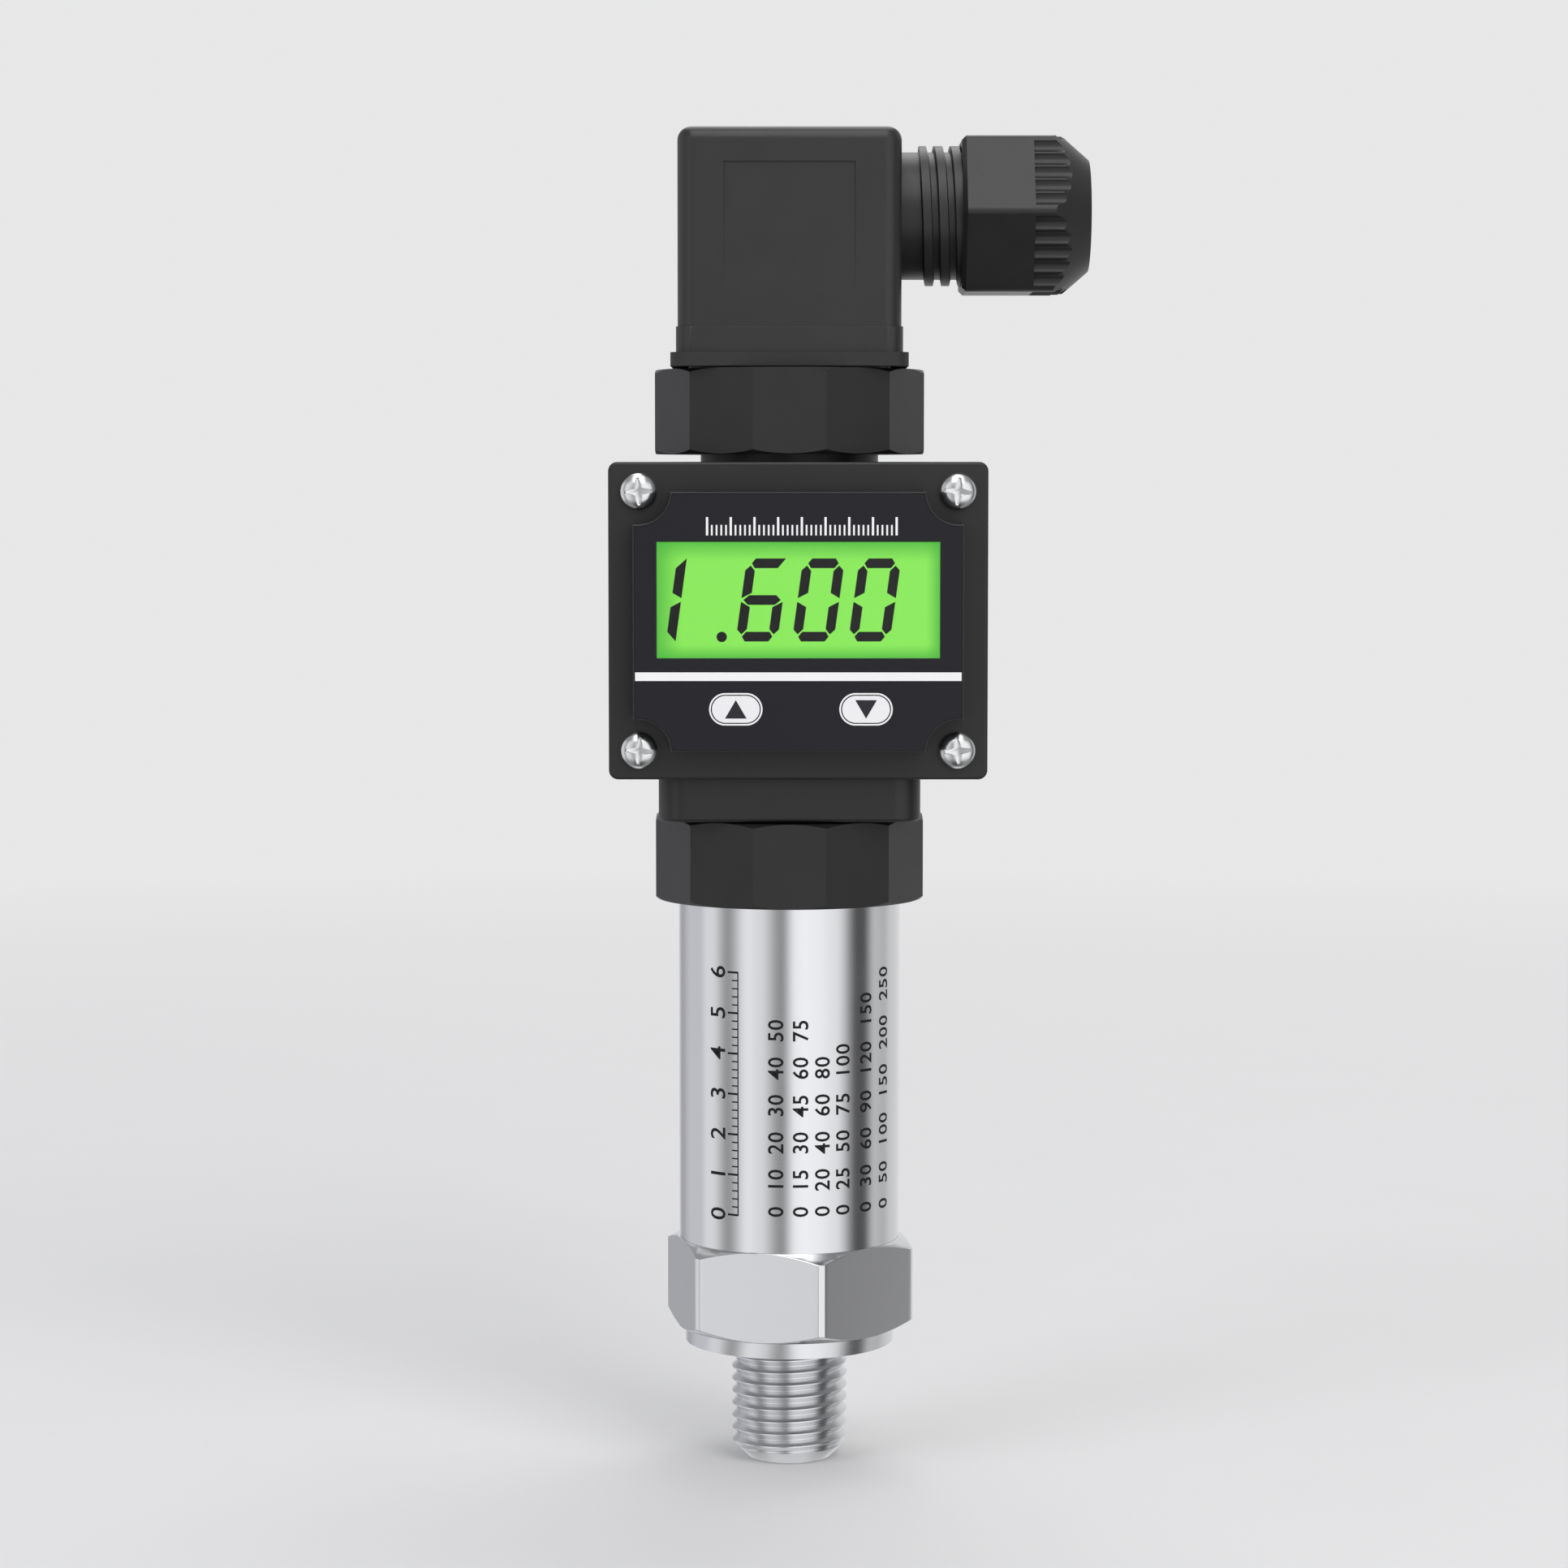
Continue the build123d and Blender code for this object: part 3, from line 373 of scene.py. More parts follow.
# %% Give every node of the frame its finish
finishes = {
    "turned_steel": steel,
    "brushed_tube": tube_steel,
    "sensor_steel": steel,
    "black_rubber": rubber_black,
    "seal_rubber": rubber_black,
    "board_green": board_green,
    "base_nylon": nylon_black,
    "housing_plastic": housing_black,
    "plug_nylon": plug_black,
    "gland_nylon": gland_grey,
    "block_nylon": nylon_black,
    "brass": brass,
    "tinned_brass": tin,
    "screw_steel": chrome,
    "printed_film": film_blue_black,
    "clear_pane": clear_pane,
    "lcd_green": lit_green,
    "light_guide": guide_milk,
    "key_white": key_white,
    "switch_black": switch_black,
}
slot_of = {part["node"]: part["material_slot"] for part in frame["record"]["subparts"]}
body_of = {n: body for body, members in frame["record"]["behaviour"]["bodies"].items() for n in members}
for name, node in nodes.items():
    node.material_slots[0].material = finishes[slot_of[name]]
print(len(finishes), "finishes on", len(nodes), "nodes")

# %% [markdown]
# ## Tools for modelling
# An operator works on whatever is selected, and the frame arrives selected, so each piece starts from
# an empty selection. Faces and verts are then picked by a test on their place.

# %% Selecting


def deselect():
    """Leave edit mode and select nothing."""
    if bpy.context.mode != "OBJECT":
        bpy.ops.object.mode_set(mode="OBJECT")
    bpy.ops.object.select_all(action="DESELECT")


def only(piece):
    """Make one object the selected and active one."""
    deselect()
    piece.select_set(True)
    bpy.context.view_layer.objects.active = piece
    return piece


def edit(piece, mode="VERT"):
    """Go into edit mode on one object, for verts, edges or faces, with all of it picked."""
    only(piece)
    bpy.ops.object.mode_set(mode="EDIT")
    bpy.ops.mesh.select_mode(type=mode)
    bpy.ops.mesh.select_all(action="SELECT")


def pick(kind, test):
    """In edit mode, pick only the faces, edges or verts that pass a test."""
    bpy.ops.mesh.select_all(action="DESELECT")
    shape = bmesh.from_edit_mesh(bpy.context.object.data)
    for element in getattr(shape, kind):
        if test(element):
            element.select_set(True)
    shape.select_flush_mode()
    bmesh.update_edit_mesh(bpy.context.object.data)


def leave(piece):
    """Point all faces outwards and leave edit mode."""
    bpy.ops.mesh.select_all(action="SELECT")
    bpy.ops.mesh.normals_make_consistent(inside=False)
    bpy.ops.object.mode_set(mode="OBJECT")
    return piece


# %% [markdown]
# Objects stay at the origin with their place in their mesh. Parts that repeat are modelled once and
# copied, and each copy has a mesh of its own.

# %% Placing, joining and cutting


def bake_place(piece):
    """Move an object's place, turn and scale into its mesh."""
    only(piece)
    bpy.ops.object.transform_apply(location=True, rotation=True, scale=True)
    return piece


def copy_at(piece, offset, turn=0.0):
    """A copy with its own mesh, turned about Y and then moved."""
    twin = piece.copy()
    twin.data = piece.data.copy()
    bpy.context.scene.collection.objects.link(twin)
    twin.rotation_euler.y = turn
    twin.location = offset
    return bake_place(twin)


def joined(pieces):
    """Make several objects one."""
    deselect()
    for piece in pieces:
        piece.select_set(True)
    bpy.context.view_layer.objects.active = pieces[0]
    bpy.ops.object.join()
    return pieces[0]


def modify(piece, kind, **settings):
    """Add a modifier and apply it."""
    only(piece)
    modifier = piece.modifiers.new(kind.lower(), kind)
    for setting, value in settings.items():
        setattr(modifier, setting, value)
    bpy.ops.object.modifier_apply(modifier=modifier.name)
    return piece


def combine(piece, tool, operation):
    """Unite, cut or keep a piece by another closed mesh, which is used up."""
    modify(piece, "BOOLEAN", object=tool, operation=operation, solver="EXACT")
    bpy.data.objects.remove(tool)
    return piece


def cut_flat(point, outward):
    """In edit mode, cut what is picked by a plane, drop the outer side and close the cut."""
    cut = {"threshold": 0.0001 * mm, "use_fill": True, "clear_outer": True}
    bpy.ops.mesh.bisect(plane_co=point, plane_no=outward, **cut)


def merged_copy(node, name):
    """A copy of a frame node whose loose triangles are merged into one closed mesh."""
    piece = bpy.data.objects.new(name, nodes[node].data.copy())
    bpy.context.scene.collection.objects.link(piece)
    only(piece)
    bpy.ops.mesh.customdata_custom_splitnormals_clear()
    edit(piece)
    bpy.ops.mesh.remove_doubles(threshold=0.001 * mm)
    return leave(piece)


def finish_piece(piece, name, body, slot, material=None, replaced=(), smooth_angle=30, weighted=False):
    """Name a piece, smooth it up to an angle, give it its finish and let it ride on its body."""
    bake_place(piece)
    bpy.ops.object.shade_smooth_by_angle(angle=math.radians(smooth_angle))
    if weighted:
        modify(piece, "WEIGHTED_NORMAL", mode="FACE_AREA", weight=100, keep_sharp=True)
    piece.name = name
    piece.data.name = name
    piece.data.materials.clear()
    piece.data.materials.append(material or finishes[slot])
    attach(piece, body)
    if replaced:
        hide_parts(*replaced)
    print(name, len(piece.data.polygons), "faces on", body)
    return piece


# %% [markdown]
# ## Outlines
# Most small shapes here start as an outline in the upright XZ plane, drawn vertex by vertex. Filled
# and thickened it becomes a layer of ink, and spun round Z it becomes a turned blank.

# %% Outline, ink and lathe
ink_t = 0.02 * mm


def outline(points):
    """A chain of edges in the XZ plane, drawn point after point."""
    deselect()
    bpy.ops.mesh.primitive_plane_add(size=mm, location=(0, 0, 0))
    chain = bpy.context.object
    edit(chain)
    bpy.ops.mesh.merge(type="CENTER")
    last = Vector((0, 0, 0))
    for number, (x, z) in enumerate(points):
        here = Vector((x, 0, z))
        if number == 0:
            bpy.ops.transform.translate(value=here - last)
        else:
            bpy.ops.mesh.extrude_vertices_move(TRANSFORM_OT_translate={"value": here - last})
        last = here
    bpy.ops.object.mode_set(mode="OBJECT")
    return chain


def thicken(plate, y):
    """Give a flat shape its thickness towards the camera and set its back at depth y."""
    edit(plate, "FACE")
    bpy.ops.mesh.extrude_region_move(TRANSFORM_OT_translate={"value": (0, -ink_t, 0)})
    leave(plate)
    plate.location.y = y
    return bake_place(plate)


def flat_shape(points, y):
    """A thin plate from an outline."""
    plate = outline(points)
    edit(plate)
    bpy.ops.mesh.edge_face_add()
    return thicken(plate, y)


def bar(centre_x, centre_z, width, height, y):
    """A thin upright rectangle."""
    half_w, half_h = width / 2, height / 2
    corners = [(-half_w, -half_h), (half_w, -half_h), (half_w, half_h), (-half_w, half_h)]
    return flat_shape([(centre_x + x, centre_z + z) for x, z in corners], y)


def disc(radius, vertices):
    """A flat upright disc that faces the camera, not yet thickened."""
    deselect()
    upright = {"fill_type": "NGON", "rotation": (math.pi / 2, 0, 0)}
    bpy.ops.mesh.primitive_circle_add(vertices=vertices, radius=radius, **upright)
    return bake_place(bpy.context.object)


def row(piece, count, step):
    """Repeat a piece in a row."""
    spacing = {"use_relative_offset": False, "use_constant_offset": True}
    return modify(piece, "ARRAY", count=count, constant_offset_displace=step, **spacing)


def turned_blank(points, segments=96):
    """A closed solid of revolution round Z from an outline that starts and ends on the axis."""
    blank = outline(points)
    edit(blank)
    bpy.ops.mesh.spin(steps=segments, angle=2 * math.pi, center=(0, 0, 0), axis=(0, 0, 1))
    bpy.ops.mesh.select_all(action="SELECT")
    bpy.ops.mesh.remove_doubles(threshold=0.001 * mm)
    return leave(blank)


# %% [markdown]
# ## A true thread
# A thread is a helix, so stacked rings would look wrong at its start and in its silhouette. One
# tooth's outline is swept up and round by the Screw modifier, and two flat cuts close the ends.

# %% Thread maker
thread_steps = 72


def threaded_rod(core_r, crest_r, pitch, crest_w, root_w, low, high):
    """A closed rod along Z from low to high, with a right-handed thread."""
    flank = (pitch - crest_w - root_w) / 2
    start = low - pitch
    tooth = [
        (core_r, start),
        (core_r, start + root_w),
        (crest_r, start + root_w + flank),
        (crest_r, start + root_w + flank + crest_w),
        (core_r, start + pitch),
    ]
    turns = math.ceil((high - low) / pitch) + 2
    rod = outline(tooth)
    steps = {"steps": thread_steps, "render_steps": thread_steps}
    modify(rod, "SCREW", axis="Z", screw_offset=pitch, iterations=turns, **steps)
    for height, outward in ((low, -1), (high, 1)):
        edit(rod)
        bpy.ops.mesh.remove_doubles(threshold=0.001 * mm)
        cut_flat((0, 0, height), (0, 0, outward))
    return leave(rod)


# %% [markdown]
# ## Process fitting
# The port is an M14 thread of 1.5 mm pitch. The frame has it as a plain pin, so a merged copy of the
# fitting is cut off just under the collar, and a threaded stem takes the pin's place. The tip is
# turned to a 45 degree chamfer, and the pressure bore runs up its middle.

# %% Port thread and fitting
port_crest_r = 7.0 * mm
port_core_r = 6.38 * mm
port_pitch = 1.5 * mm
port_crest_w = 0.14 * mm
port_root_w = 0.1 * mm
port_bore_r = 1.6 * mm
port_end_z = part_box("process_fitting")[0].z
stem_top_z = 0.3 * mm
chamfer = 2.05 * mm
stub = 0.02 * mm
crest_seen_z = -7.54 * mm

port_tooth = (port_core_r, port_crest_r, port_pitch, port_crest_w, port_root_w)
stem = threaded_rod(*port_tooth, port_end_z, stem_top_z)
crest_z = port_end_z - port_pitch / 2 + port_root_w / 2
turns_off = (crest_z + port_pitch / 2 - crest_seen_z) / port_pitch
stem.rotation_euler.z = -2 * math.pi * (turns_off % 1)
bake_place(stem)
rim = 0.05 * mm
blank_r = port_crest_r + rim
tip_r = port_crest_r - chamfer
soft_in, soft_out, soft_h = 0.3 * mm, 0.1 * mm, 0.12 * mm
tip = turned_blank([
    (0, port_end_z),
    (tip_r - soft_in, port_end_z),
    (tip_r + soft_out, port_end_z + soft_h),
    (blank_r, port_end_z + chamfer + rim),
    (blank_r, stem_top_z),
    (0, stem_top_z),
])
combine(stem, tip, "INTERSECT")

fitting = merged_copy("process_fitting", "fitting")
edit(fitting)
cut_flat((0, 0, -stub), (0, 0, -1))
leave(fitting)
collar_top_z = 2.0 * mm
hexagon_inner_r = 13.4 * mm
edge_soft = 0.08 * mm


def is_hexagon_edge(edge):
    """A real edge of the hexagon, and not one between two facets of its curved chamfers."""
    place = edge.verts[0].co
    on_hexagon = place.z > collar_top_z and math.hypot(place.x, place.y) > hexagon_inner_r
    return on_hexagon and len(edge.link_faces) == 2 and edge.calc_face_angle() > math.radians(16)


edit(fitting, "EDGE")
pick("edges", is_hexagon_edge)
bpy.ops.mesh.bevel(offset=edge_soft, segments=2, affect="EDGES", clamp_overlap=False)
bpy.ops.object.mode_set(mode="OBJECT")
combine(fitting, stem, "UNION")
bore_depth = 16 * mm
bore = {"radius": port_bore_r, "depth": 2 * bore_depth, "location": (0, 0, port_end_z)}
deselect()
bpy.ops.mesh.primitive_cylinder_add(vertices=48, **bore)
combine(fitting, bpy.context.object, "DIFFERENCE")
finish_piece(
    fitting, "threaded_fitting", "transmitter", "turned_steel",
    replaced=["process_fitting"], weighted=True,
)

# %% [markdown]
# ## Cable plug
# The gland's spigot has a coarse trapezoid thread of 1.95 mm pitch. A tube-shaped cutter clears the
# frame's plain ridges off the spigot, and a helical ridge on a hidden core is united with it.

# %% Spigot thread
housing_low, housing_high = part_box("plug_housing")
gland_z = middle_of("gland_nut").z
margin = 0.05 * mm
skirt_step = 0.2 * mm
skirt_h = 3.0 * mm
skirt_soft = 0.1 * mm
plug_side_x = -housing_low.x - skirt_step
clearing_r = 9.5 * mm
spigot_r = 7.55 * mm
ridge_r = 8.3 * mm
ridge_pitch = 1.95 * mm
ridge_top_w = 0.95 * mm
ridge_gap_w = 0.6 * mm
hidden_core_r = 7.4 * mm
hollow_r = 6.6 * mm
plain_length = 2.3 * mm
ridge_start_x = plug_side_x + plain_length
ridge_end_x = housing_high.x - margin


def along_gland(piece):
    """Lay a piece that was made along Z on the gland's axis."""
    piece.rotation_euler.y = math.pi / 2
    piece.location.z = gland_z
    return bake_place(piece)


def round_bar(radius, low, high):
    """A plain round bar along Z."""
    deselect()
    centre = (0, 0, (low + high) / 2)
    bpy.ops.mesh.primitive_cylinder_add(vertices=96, radius=radius, depth=high - low, location=centre)
    return bake_place(bpy.context.object)


plug = merged_copy("plug_housing", "plug")
clearing = round_bar(clearing_r, plug_side_x + margin, housing_high.x + mm)
combine(clearing, round_bar(spigot_r, 0, housing_high.x + 2 * mm), "DIFFERENCE")
combine(plug, along_gland(clearing), "DIFFERENCE")
ridges = threaded_rod(
    hidden_core_r, ridge_r, ridge_pitch, ridge_top_w, ridge_gap_w, ridge_start_x, ridge_end_x
)
combine(ridges, round_bar(hollow_r, 0, housing_high.x + mm), "DIFFERENCE")
combine(plug, along_gland(ridges), "UNION")
skirt_top_z = housing_low.z + skirt_h
skirt_edge_y = housing_low.y + margin


def is_skirt_edge(edge):
    """The long front edge on top of the plug's skirt."""
    return all(abs(v.co.z - skirt_top_z) < 0.01 * mm and v.co.y < skirt_edge_y for v in edge.verts)


edit(plug, "EDGE")
pick("edges", is_skirt_edge)
bpy.ops.mesh.bevel(offset=skirt_soft, segments=2, affect="EDGES", clamp_overlap=False)
bpy.ops.object.mode_set(mode="OBJECT")
finish_piece(
    plug, "plug_with_thread", body_of["plug_housing"], "plug_nylon",
    replaced=["plug_housing"], smooth_angle=32, weighted=True,
)

# %% [markdown]
# ## The digits
# A liquid-crystal digit is a set of flat segments with mitred ends, leaning to the right. Each segment
# is drawn once in the digit's own cell and copied into every digit that lights it.

# %% Digit segments
digit_w = 4.82 * mm
digit_h = 9.57 * mm
segment_w = 1.12 * mm
digit_pitch = 6.49 * mm
lean = math.tan(math.radians(7.8))
half_h = digit_h / 2
top_z = digit_h - segment_w / 2
foot_gap = 0.2 * mm
mitre_h = 0.82 * mm
tip_inset = 0.65 * mm
flat_inset = 1.05 * mm


def upright_segment(right, upper):
    """One of the four upright segments. Its outer edge is the longer one."""
    outer_drop, tip_drop, inner_drop = 1.37 * mm, 0.82 * mm, 1.43 * mm
    points = [
        (0, foot_gap),
        (0, half_h - outer_drop),
        (segment_w / 2, half_h - tip_drop),
        (segment_w, half_h - inner_drop),
        (segment_w, mitre_h),
    ]
    return [(digit_w - x if right else x, half_h + (z if upper else -z)) for x, z in points]


def level_segment(height, tip, flat):
    """A level segment with a point at each end. Its points and its flats are set in from the sides."""
    left = [(flat, -segment_w / 2), (tip, 0), (flat, segment_w / 2)]
    right = [(digit_w - x, -z) for x, z in left]
    return [(x, height + z) for x, z in left + right]


def one_stroke(upper):
    """Half of the figure one, cut off slanting at its outer end."""
    points = [(0, foot_gap), (0, half_h), (segment_w, half_h - segment_w), (segment_w, mitre_h)]
    return [(digit_w - x, half_h + (z if upper else -z)) for x, z in points]


open_top = [
    (flat_inset, top_z - segment_w / 2),
    (tip_inset, top_z),
    (flat_inset, digit_h),
    (digit_w - 0.3 * mm, digit_h),
    (digit_w - 1.1 * mm, digit_h - segment_w),
]
cell = {
    "top": level_segment(top_z, tip_inset, flat_inset),
    "open top": open_top,
    "upper right": upright_segment(True, True),
    "lower right": upright_segment(True, False),
    "bottom": level_segment(segment_w / 2, tip_inset, flat_inset),
    "lower left": upright_segment(False, False),
    "upper left": upright_segment(False, True),
    "middle": level_segment(half_h, 0.25 * mm, 0.85 * mm),
    "one high": one_stroke(True),
    "one low": one_stroke(False),
}
segments = {}
for name, points in cell.items():
    segments[name] = flat_shape([(x + lean * z, z) for x, z in points], 0)
print(len(segments), "segments drawn")

# %% The reading 1.600
digits_down, digits_left, one_left = 4.78 * mm, 7.24 * mm, 14.15 * mm
dot_r, dot_left, dot_down = 0.6 * mm, 8.83 * mm, 4.25 * mm
panel_front_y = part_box("lcd_panel")[0].y
panel_centre = middle_of("lcd_panel")
baseline_z = panel_centre.z - digits_down
first_x = panel_centre.x - digits_left
one_x = panel_centre.x - one_left - digit_w
nought = ["top", "upper right", "lower right", "bottom", "lower left", "upper left"]
six = ["open top", "lower right", "bottom", "lower left", "upper left", "middle"]
digits = [(one_x, ["one high", "one low"]), (first_x, six)]
digits += [(first_x + digit_pitch, nought), (first_x + 2 * digit_pitch, nought)]
plates = [
    copy_at(segments[name], (x, panel_front_y, baseline_z)) for x, names in digits for name in names
]
for template in segments.values():
    bpy.data.objects.remove(template)
dot = disc(dot_r, 32)
dot.location = (panel_centre.x - dot_left, 0, panel_centre.z - dot_down)
plates.append(thicken(bake_place(dot), panel_front_y))
finish_piece(joined(plates), "reading_segments", "transmitter", "lcd_green", segment_dark)

# %% [markdown]
# ## Printing on the film
# White ink lies on the film as a layer too thin to feel. It still gets a thickness, so that it never
# fights with the film's own face. A plain row of scale ticks stands over the window.

# %% White line, ticks and key rings
film_low, film_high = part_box("face_film")
film_y = film_low.y
line_z, line_h, line_margin = 81.72 * mm, 0.98 * mm, 0.03 * mm
line_w = film_high.x - film_low.x - 2 * line_margin
tick_foot_z = 97.95 * mm
tick_pitch = 2.72 * mm
tick_gaps, tick_parts = 8, 5
tall_w, tall_h = 0.26 * mm, 2.1 * mm
short_w, short_h = 0.2 * mm, 1.2 * mm
ticks_right = 0.4 * mm
first_tick_x = panel_centre.x + ticks_right - tick_gaps / 2 * tick_pitch
whites = [bar(panel_centre.x, line_z, line_w, line_h, film_y)]
tall = bar(first_tick_x, tick_foot_z + tall_h / 2, tall_w, tall_h, film_y)
whites.append(row(tall, tick_gaps + 1, (tick_pitch, 0, 0)))
for part in range(1, tick_parts):
    short_x = first_tick_x + part * tick_pitch / tick_parts
    short = bar(short_x, tick_foot_z + short_h / 2, short_w, short_h, film_y)
    whites.append(row(short, tick_gaps, (tick_pitch, 0, 0)))


def key_ring(centre_x, centre_z):
    """A flat white ring round a key: a disc pulled to an oval, with a hole inset in it."""
    ring_h, ring_w, ring_t = 3.75 * mm, 6.15 * mm, 0.19 * mm
    ring = disc(ring_h / 2, 64)
    edit(ring)
    for side in (-1, 1):
        pick("verts", lambda vert: side * vert.co.x > 0.01 * mm)
        bpy.ops.transform.translate(value=(side * (ring_w - ring_h) / 2, 0, 0))
    bpy.ops.mesh.select_mode(type="FACE")
    bpy.ops.mesh.select_all(action="SELECT")
    bpy.ops.mesh.inset(thickness=ring_t)
    bpy.ops.mesh.delete(type="FACE")
    bpy.ops.object.mode_set(mode="OBJECT")
    ring.location = (centre_x, 0, centre_z)
    return thicken(bake_place(ring), film_y)


for name in ("up_key", "down_key"):
    key_middle = middle_of(name)
    whites.append(key_ring(key_middle.x, key_middle.z))
finish_piece(joined(whites), "film_print", "transmitter", "printed_film", print_white)

# %% Triangles on the keys
for name, way in (("up_key", 1), ("down_key", -1)):
    key_middle = middle_of(name)
    key_front_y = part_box(name)[0].y
    half_w, half_tall = 1.24 * mm, 1.06 * mm
    corners = [(-half_w, -way * half_tall), (half_w, -way * half_tall), (0, way * half_tall)]
    arrow = flat_shape([(key_middle.x + x, key_middle.z + z) for x, z in corners], key_front_y)
    finish_piece(arrow, name + "_arrow", body_of[name], "key_white", print_dark)

# %% [markdown]
# ## Lid screws
# A pan head is a flat dome with a rounded rim. The cross recess has arms that narrow outwards, walls
# that lean in and a flat floor, so the cutter is a star whose deep end is scaled down.

# %% Dome and cross
screw_low, screw_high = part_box("lid_screw_1")
head_r = 2.175 * mm
head_h = 1.6 * mm
rim_h = 0.35 * mm
seat_depth = 1.7 * mm
shank_r = 1.1 * mm
shank_length = screw_high.y - screw_low.y - seat_depth
dome_steps = 14
profile = [(0, -shank_length), (shank_r, -shank_length), (shank_r, 0), (head_r, 0)]
for step in range(dome_steps + 1):
    angle = math.pi / 2 * step / dome_steps
    radius = head_r * math.cos(angle) ** 0.75
    profile.append((radius, rim_h + (head_h - rim_h) * math.sin(angle) ** 0.9))
screw = turned_blank(profile, 64)
screw.rotation_euler.x = math.pi / 2
bake_place(screw)

arm_length = 1.85 * mm
arm_end_w = 0.34 * mm
valley = 0.42 * mm
star = []
for quarter in range(4):
    angle = quarter * math.pi / 2
    for x, z in ((valley, -valley), (arm_length, -arm_end_w / 2), (arm_length, arm_end_w / 2)):
        across = x * math.cos(angle) - z * math.sin(angle)
        star.append((across, x * math.sin(angle) + z * math.cos(angle)))
recess = outline(star)
edit(recess)
bpy.ops.mesh.edge_face_add()
edit(recess, "FACE")
cutter_stand_off = 0.3 * mm
cutter_depth = 0.95 * mm
floor_share = 0.8
bpy.ops.mesh.extrude_region_move(TRANSFORM_OT_translate={"value": (0, cutter_depth, 0)})
bpy.ops.transform.resize(value=(floor_share, 1, floor_share), center_override=(0, cutter_depth, 0))
leave(recess)
recess.location.y = -head_h - cutter_stand_off
combine(screw, bake_place(recess), "DIFFERENCE")
modify(screw, "BEVEL", width=0.04 * mm, segments=2, limit_method="ANGLE", angle_limit=math.radians(40))

head_turns = {"lid_screw_1": 4, "lid_screw_2": -3, "lid_screw_3": -5, "lid_screw_4": 6}
for name, degrees in head_turns.items():
    centre = middle_of(name)
    seat_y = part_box(name)[0].y + seat_depth
    head = copy_at(screw, (centre.x, seat_y, centre.z), math.radians(degrees))
    plated_name = name.replace("lid", "plated_lid")
    finish_piece(head, plated_name, "transmitter", "screw_steel", replaced=[name], smooth_angle=40)
bpy.data.objects.remove(screw)

# %% [markdown]
# ## Marking on the steel tube
# The tube is marked dark by laser. The marking is laid out flat, with lengths measured round the
# tube, and reads upwards. It is a plain scale beside columns of plain numbers. Cuts every half
# millimetre give it verts to bend with, and a Bend modifier rolls it on to the tube.

# %% Flat marking
tube_low, tube_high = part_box("body_tube")
tube_r = (tube_high.x - tube_low.x) / 2
mark_t = 0.012 * mm
foot_z = 17.2 * mm


def number_line(text, across, size):
    """Plain numbers that read upwards, with their feet at a distance round the tube."""
    deselect()
    bpy.ops.object.text_add(location=(across, 0, foot_z), rotation=(math.pi / 2, -math.pi / 2, 0))
    line = bpy.context.object
    line.data.body = text
    line.data.size = size
    line.data.resolution_u = 3
    line.data.extrude = mark_t / 2
    line.data.offset = 0.03 * mm
    line.data.space_character = 1.08
    bpy.ops.object.convert(target="MESH")
    line = bpy.context.object
    edit(line)
    bpy.ops.mesh.remove_doubles(threshold=0.0005 * mm)
    return bake_place(leave(line))


scale_length = 29.0 * mm
scale_gaps, scale_parts = 6, 5
scale_step = scale_length / (scale_gaps * scale_parts)
scale_x = -6.35 * mm
spine_w = 0.14 * mm
small_l, small_w = 0.8 * mm, 0.16 * mm
large_l, large_w = 1.4 * mm, 0.24 * mm
figure_gap, figure_drop = 1.8 * mm, 0.85 * mm
figure_size, column_size = 3.2 * mm, 2.6 * mm
marks = [bar(scale_x, foot_z + scale_length / 2, spine_w, scale_length + spine_w, 0)]
small_tick = bar(scale_x - small_l / 2, foot_z, small_l, small_w, 0)
marks.append(row(small_tick, scale_gaps * scale_parts + 1, (0, 0, scale_step)))
large_tick = bar(scale_x - large_l / 2, foot_z, large_l, large_w, 0)
marks.append(row(large_tick, scale_gaps + 1, (0, 0, scale_parts * scale_step)))
for number in range(scale_gaps + 1):
    figure = number_line(str(number), scale_x - figure_gap, figure_size)
    shift = (0, 0, scale_parts * scale_step * number - figure_drop)
    marks.append(copy_at(figure, shift))
    bpy.data.objects.remove(figure)
columns = [
    (-0.75, "0  10  20  30  40  50"),
    (2.2, "0  15  30  45  60  75"),
    (4.85, "0  20  40  60  80"),
    (7.5, "0  25  50  75  100"),
    (10.9, "0  30  60  90  120  150"),
    (14.2, "0  50  100  150  200  250"),
]
for across, text in columns:
    marks.append(number_line(text, across * mm, column_size))
marking = joined(marks)
print("marking laid flat with", len(marking.data.polygons), "faces")

# %% Roll the marking on to the tube
edit(marking)
across_all = [vert.co.x for vert in marking.data.vertices]
left, right = min(across_all), max(across_all)
cut_step = 0.5 * mm
for number in range(1, int((right - left) / cut_step)):
    bpy.ops.mesh.select_all(action="SELECT")
    here = (left + number * cut_step, 0, 0)
    bpy.ops.mesh.bisect(plane_co=here, plane_no=(1, 0, 0), threshold=0.00001 * mm)
bpy.ops.object.mode_set(mode="OBJECT")
rolled_r = tube_r + 0.004 * mm
modify(marking, "SIMPLE_DEFORM", deform_method="BEND", deform_axis="Z", angle=(right - left) / rolled_r)
marking.location.y = -rolled_r
finish_piece(marking, "tube_marking", "transmitter", "brushed_tube", etch_dark)

# %% [markdown]
# ## The studio
# A pale floor keeps the shadow near the part, and fades into an even glow further out. The world is a
# plain pale room for the camera. Steel only looks like steel when it has something to mirror, so what
# shiny surfaces see is that room with soft boxes and darker gaps between them, all round the part.

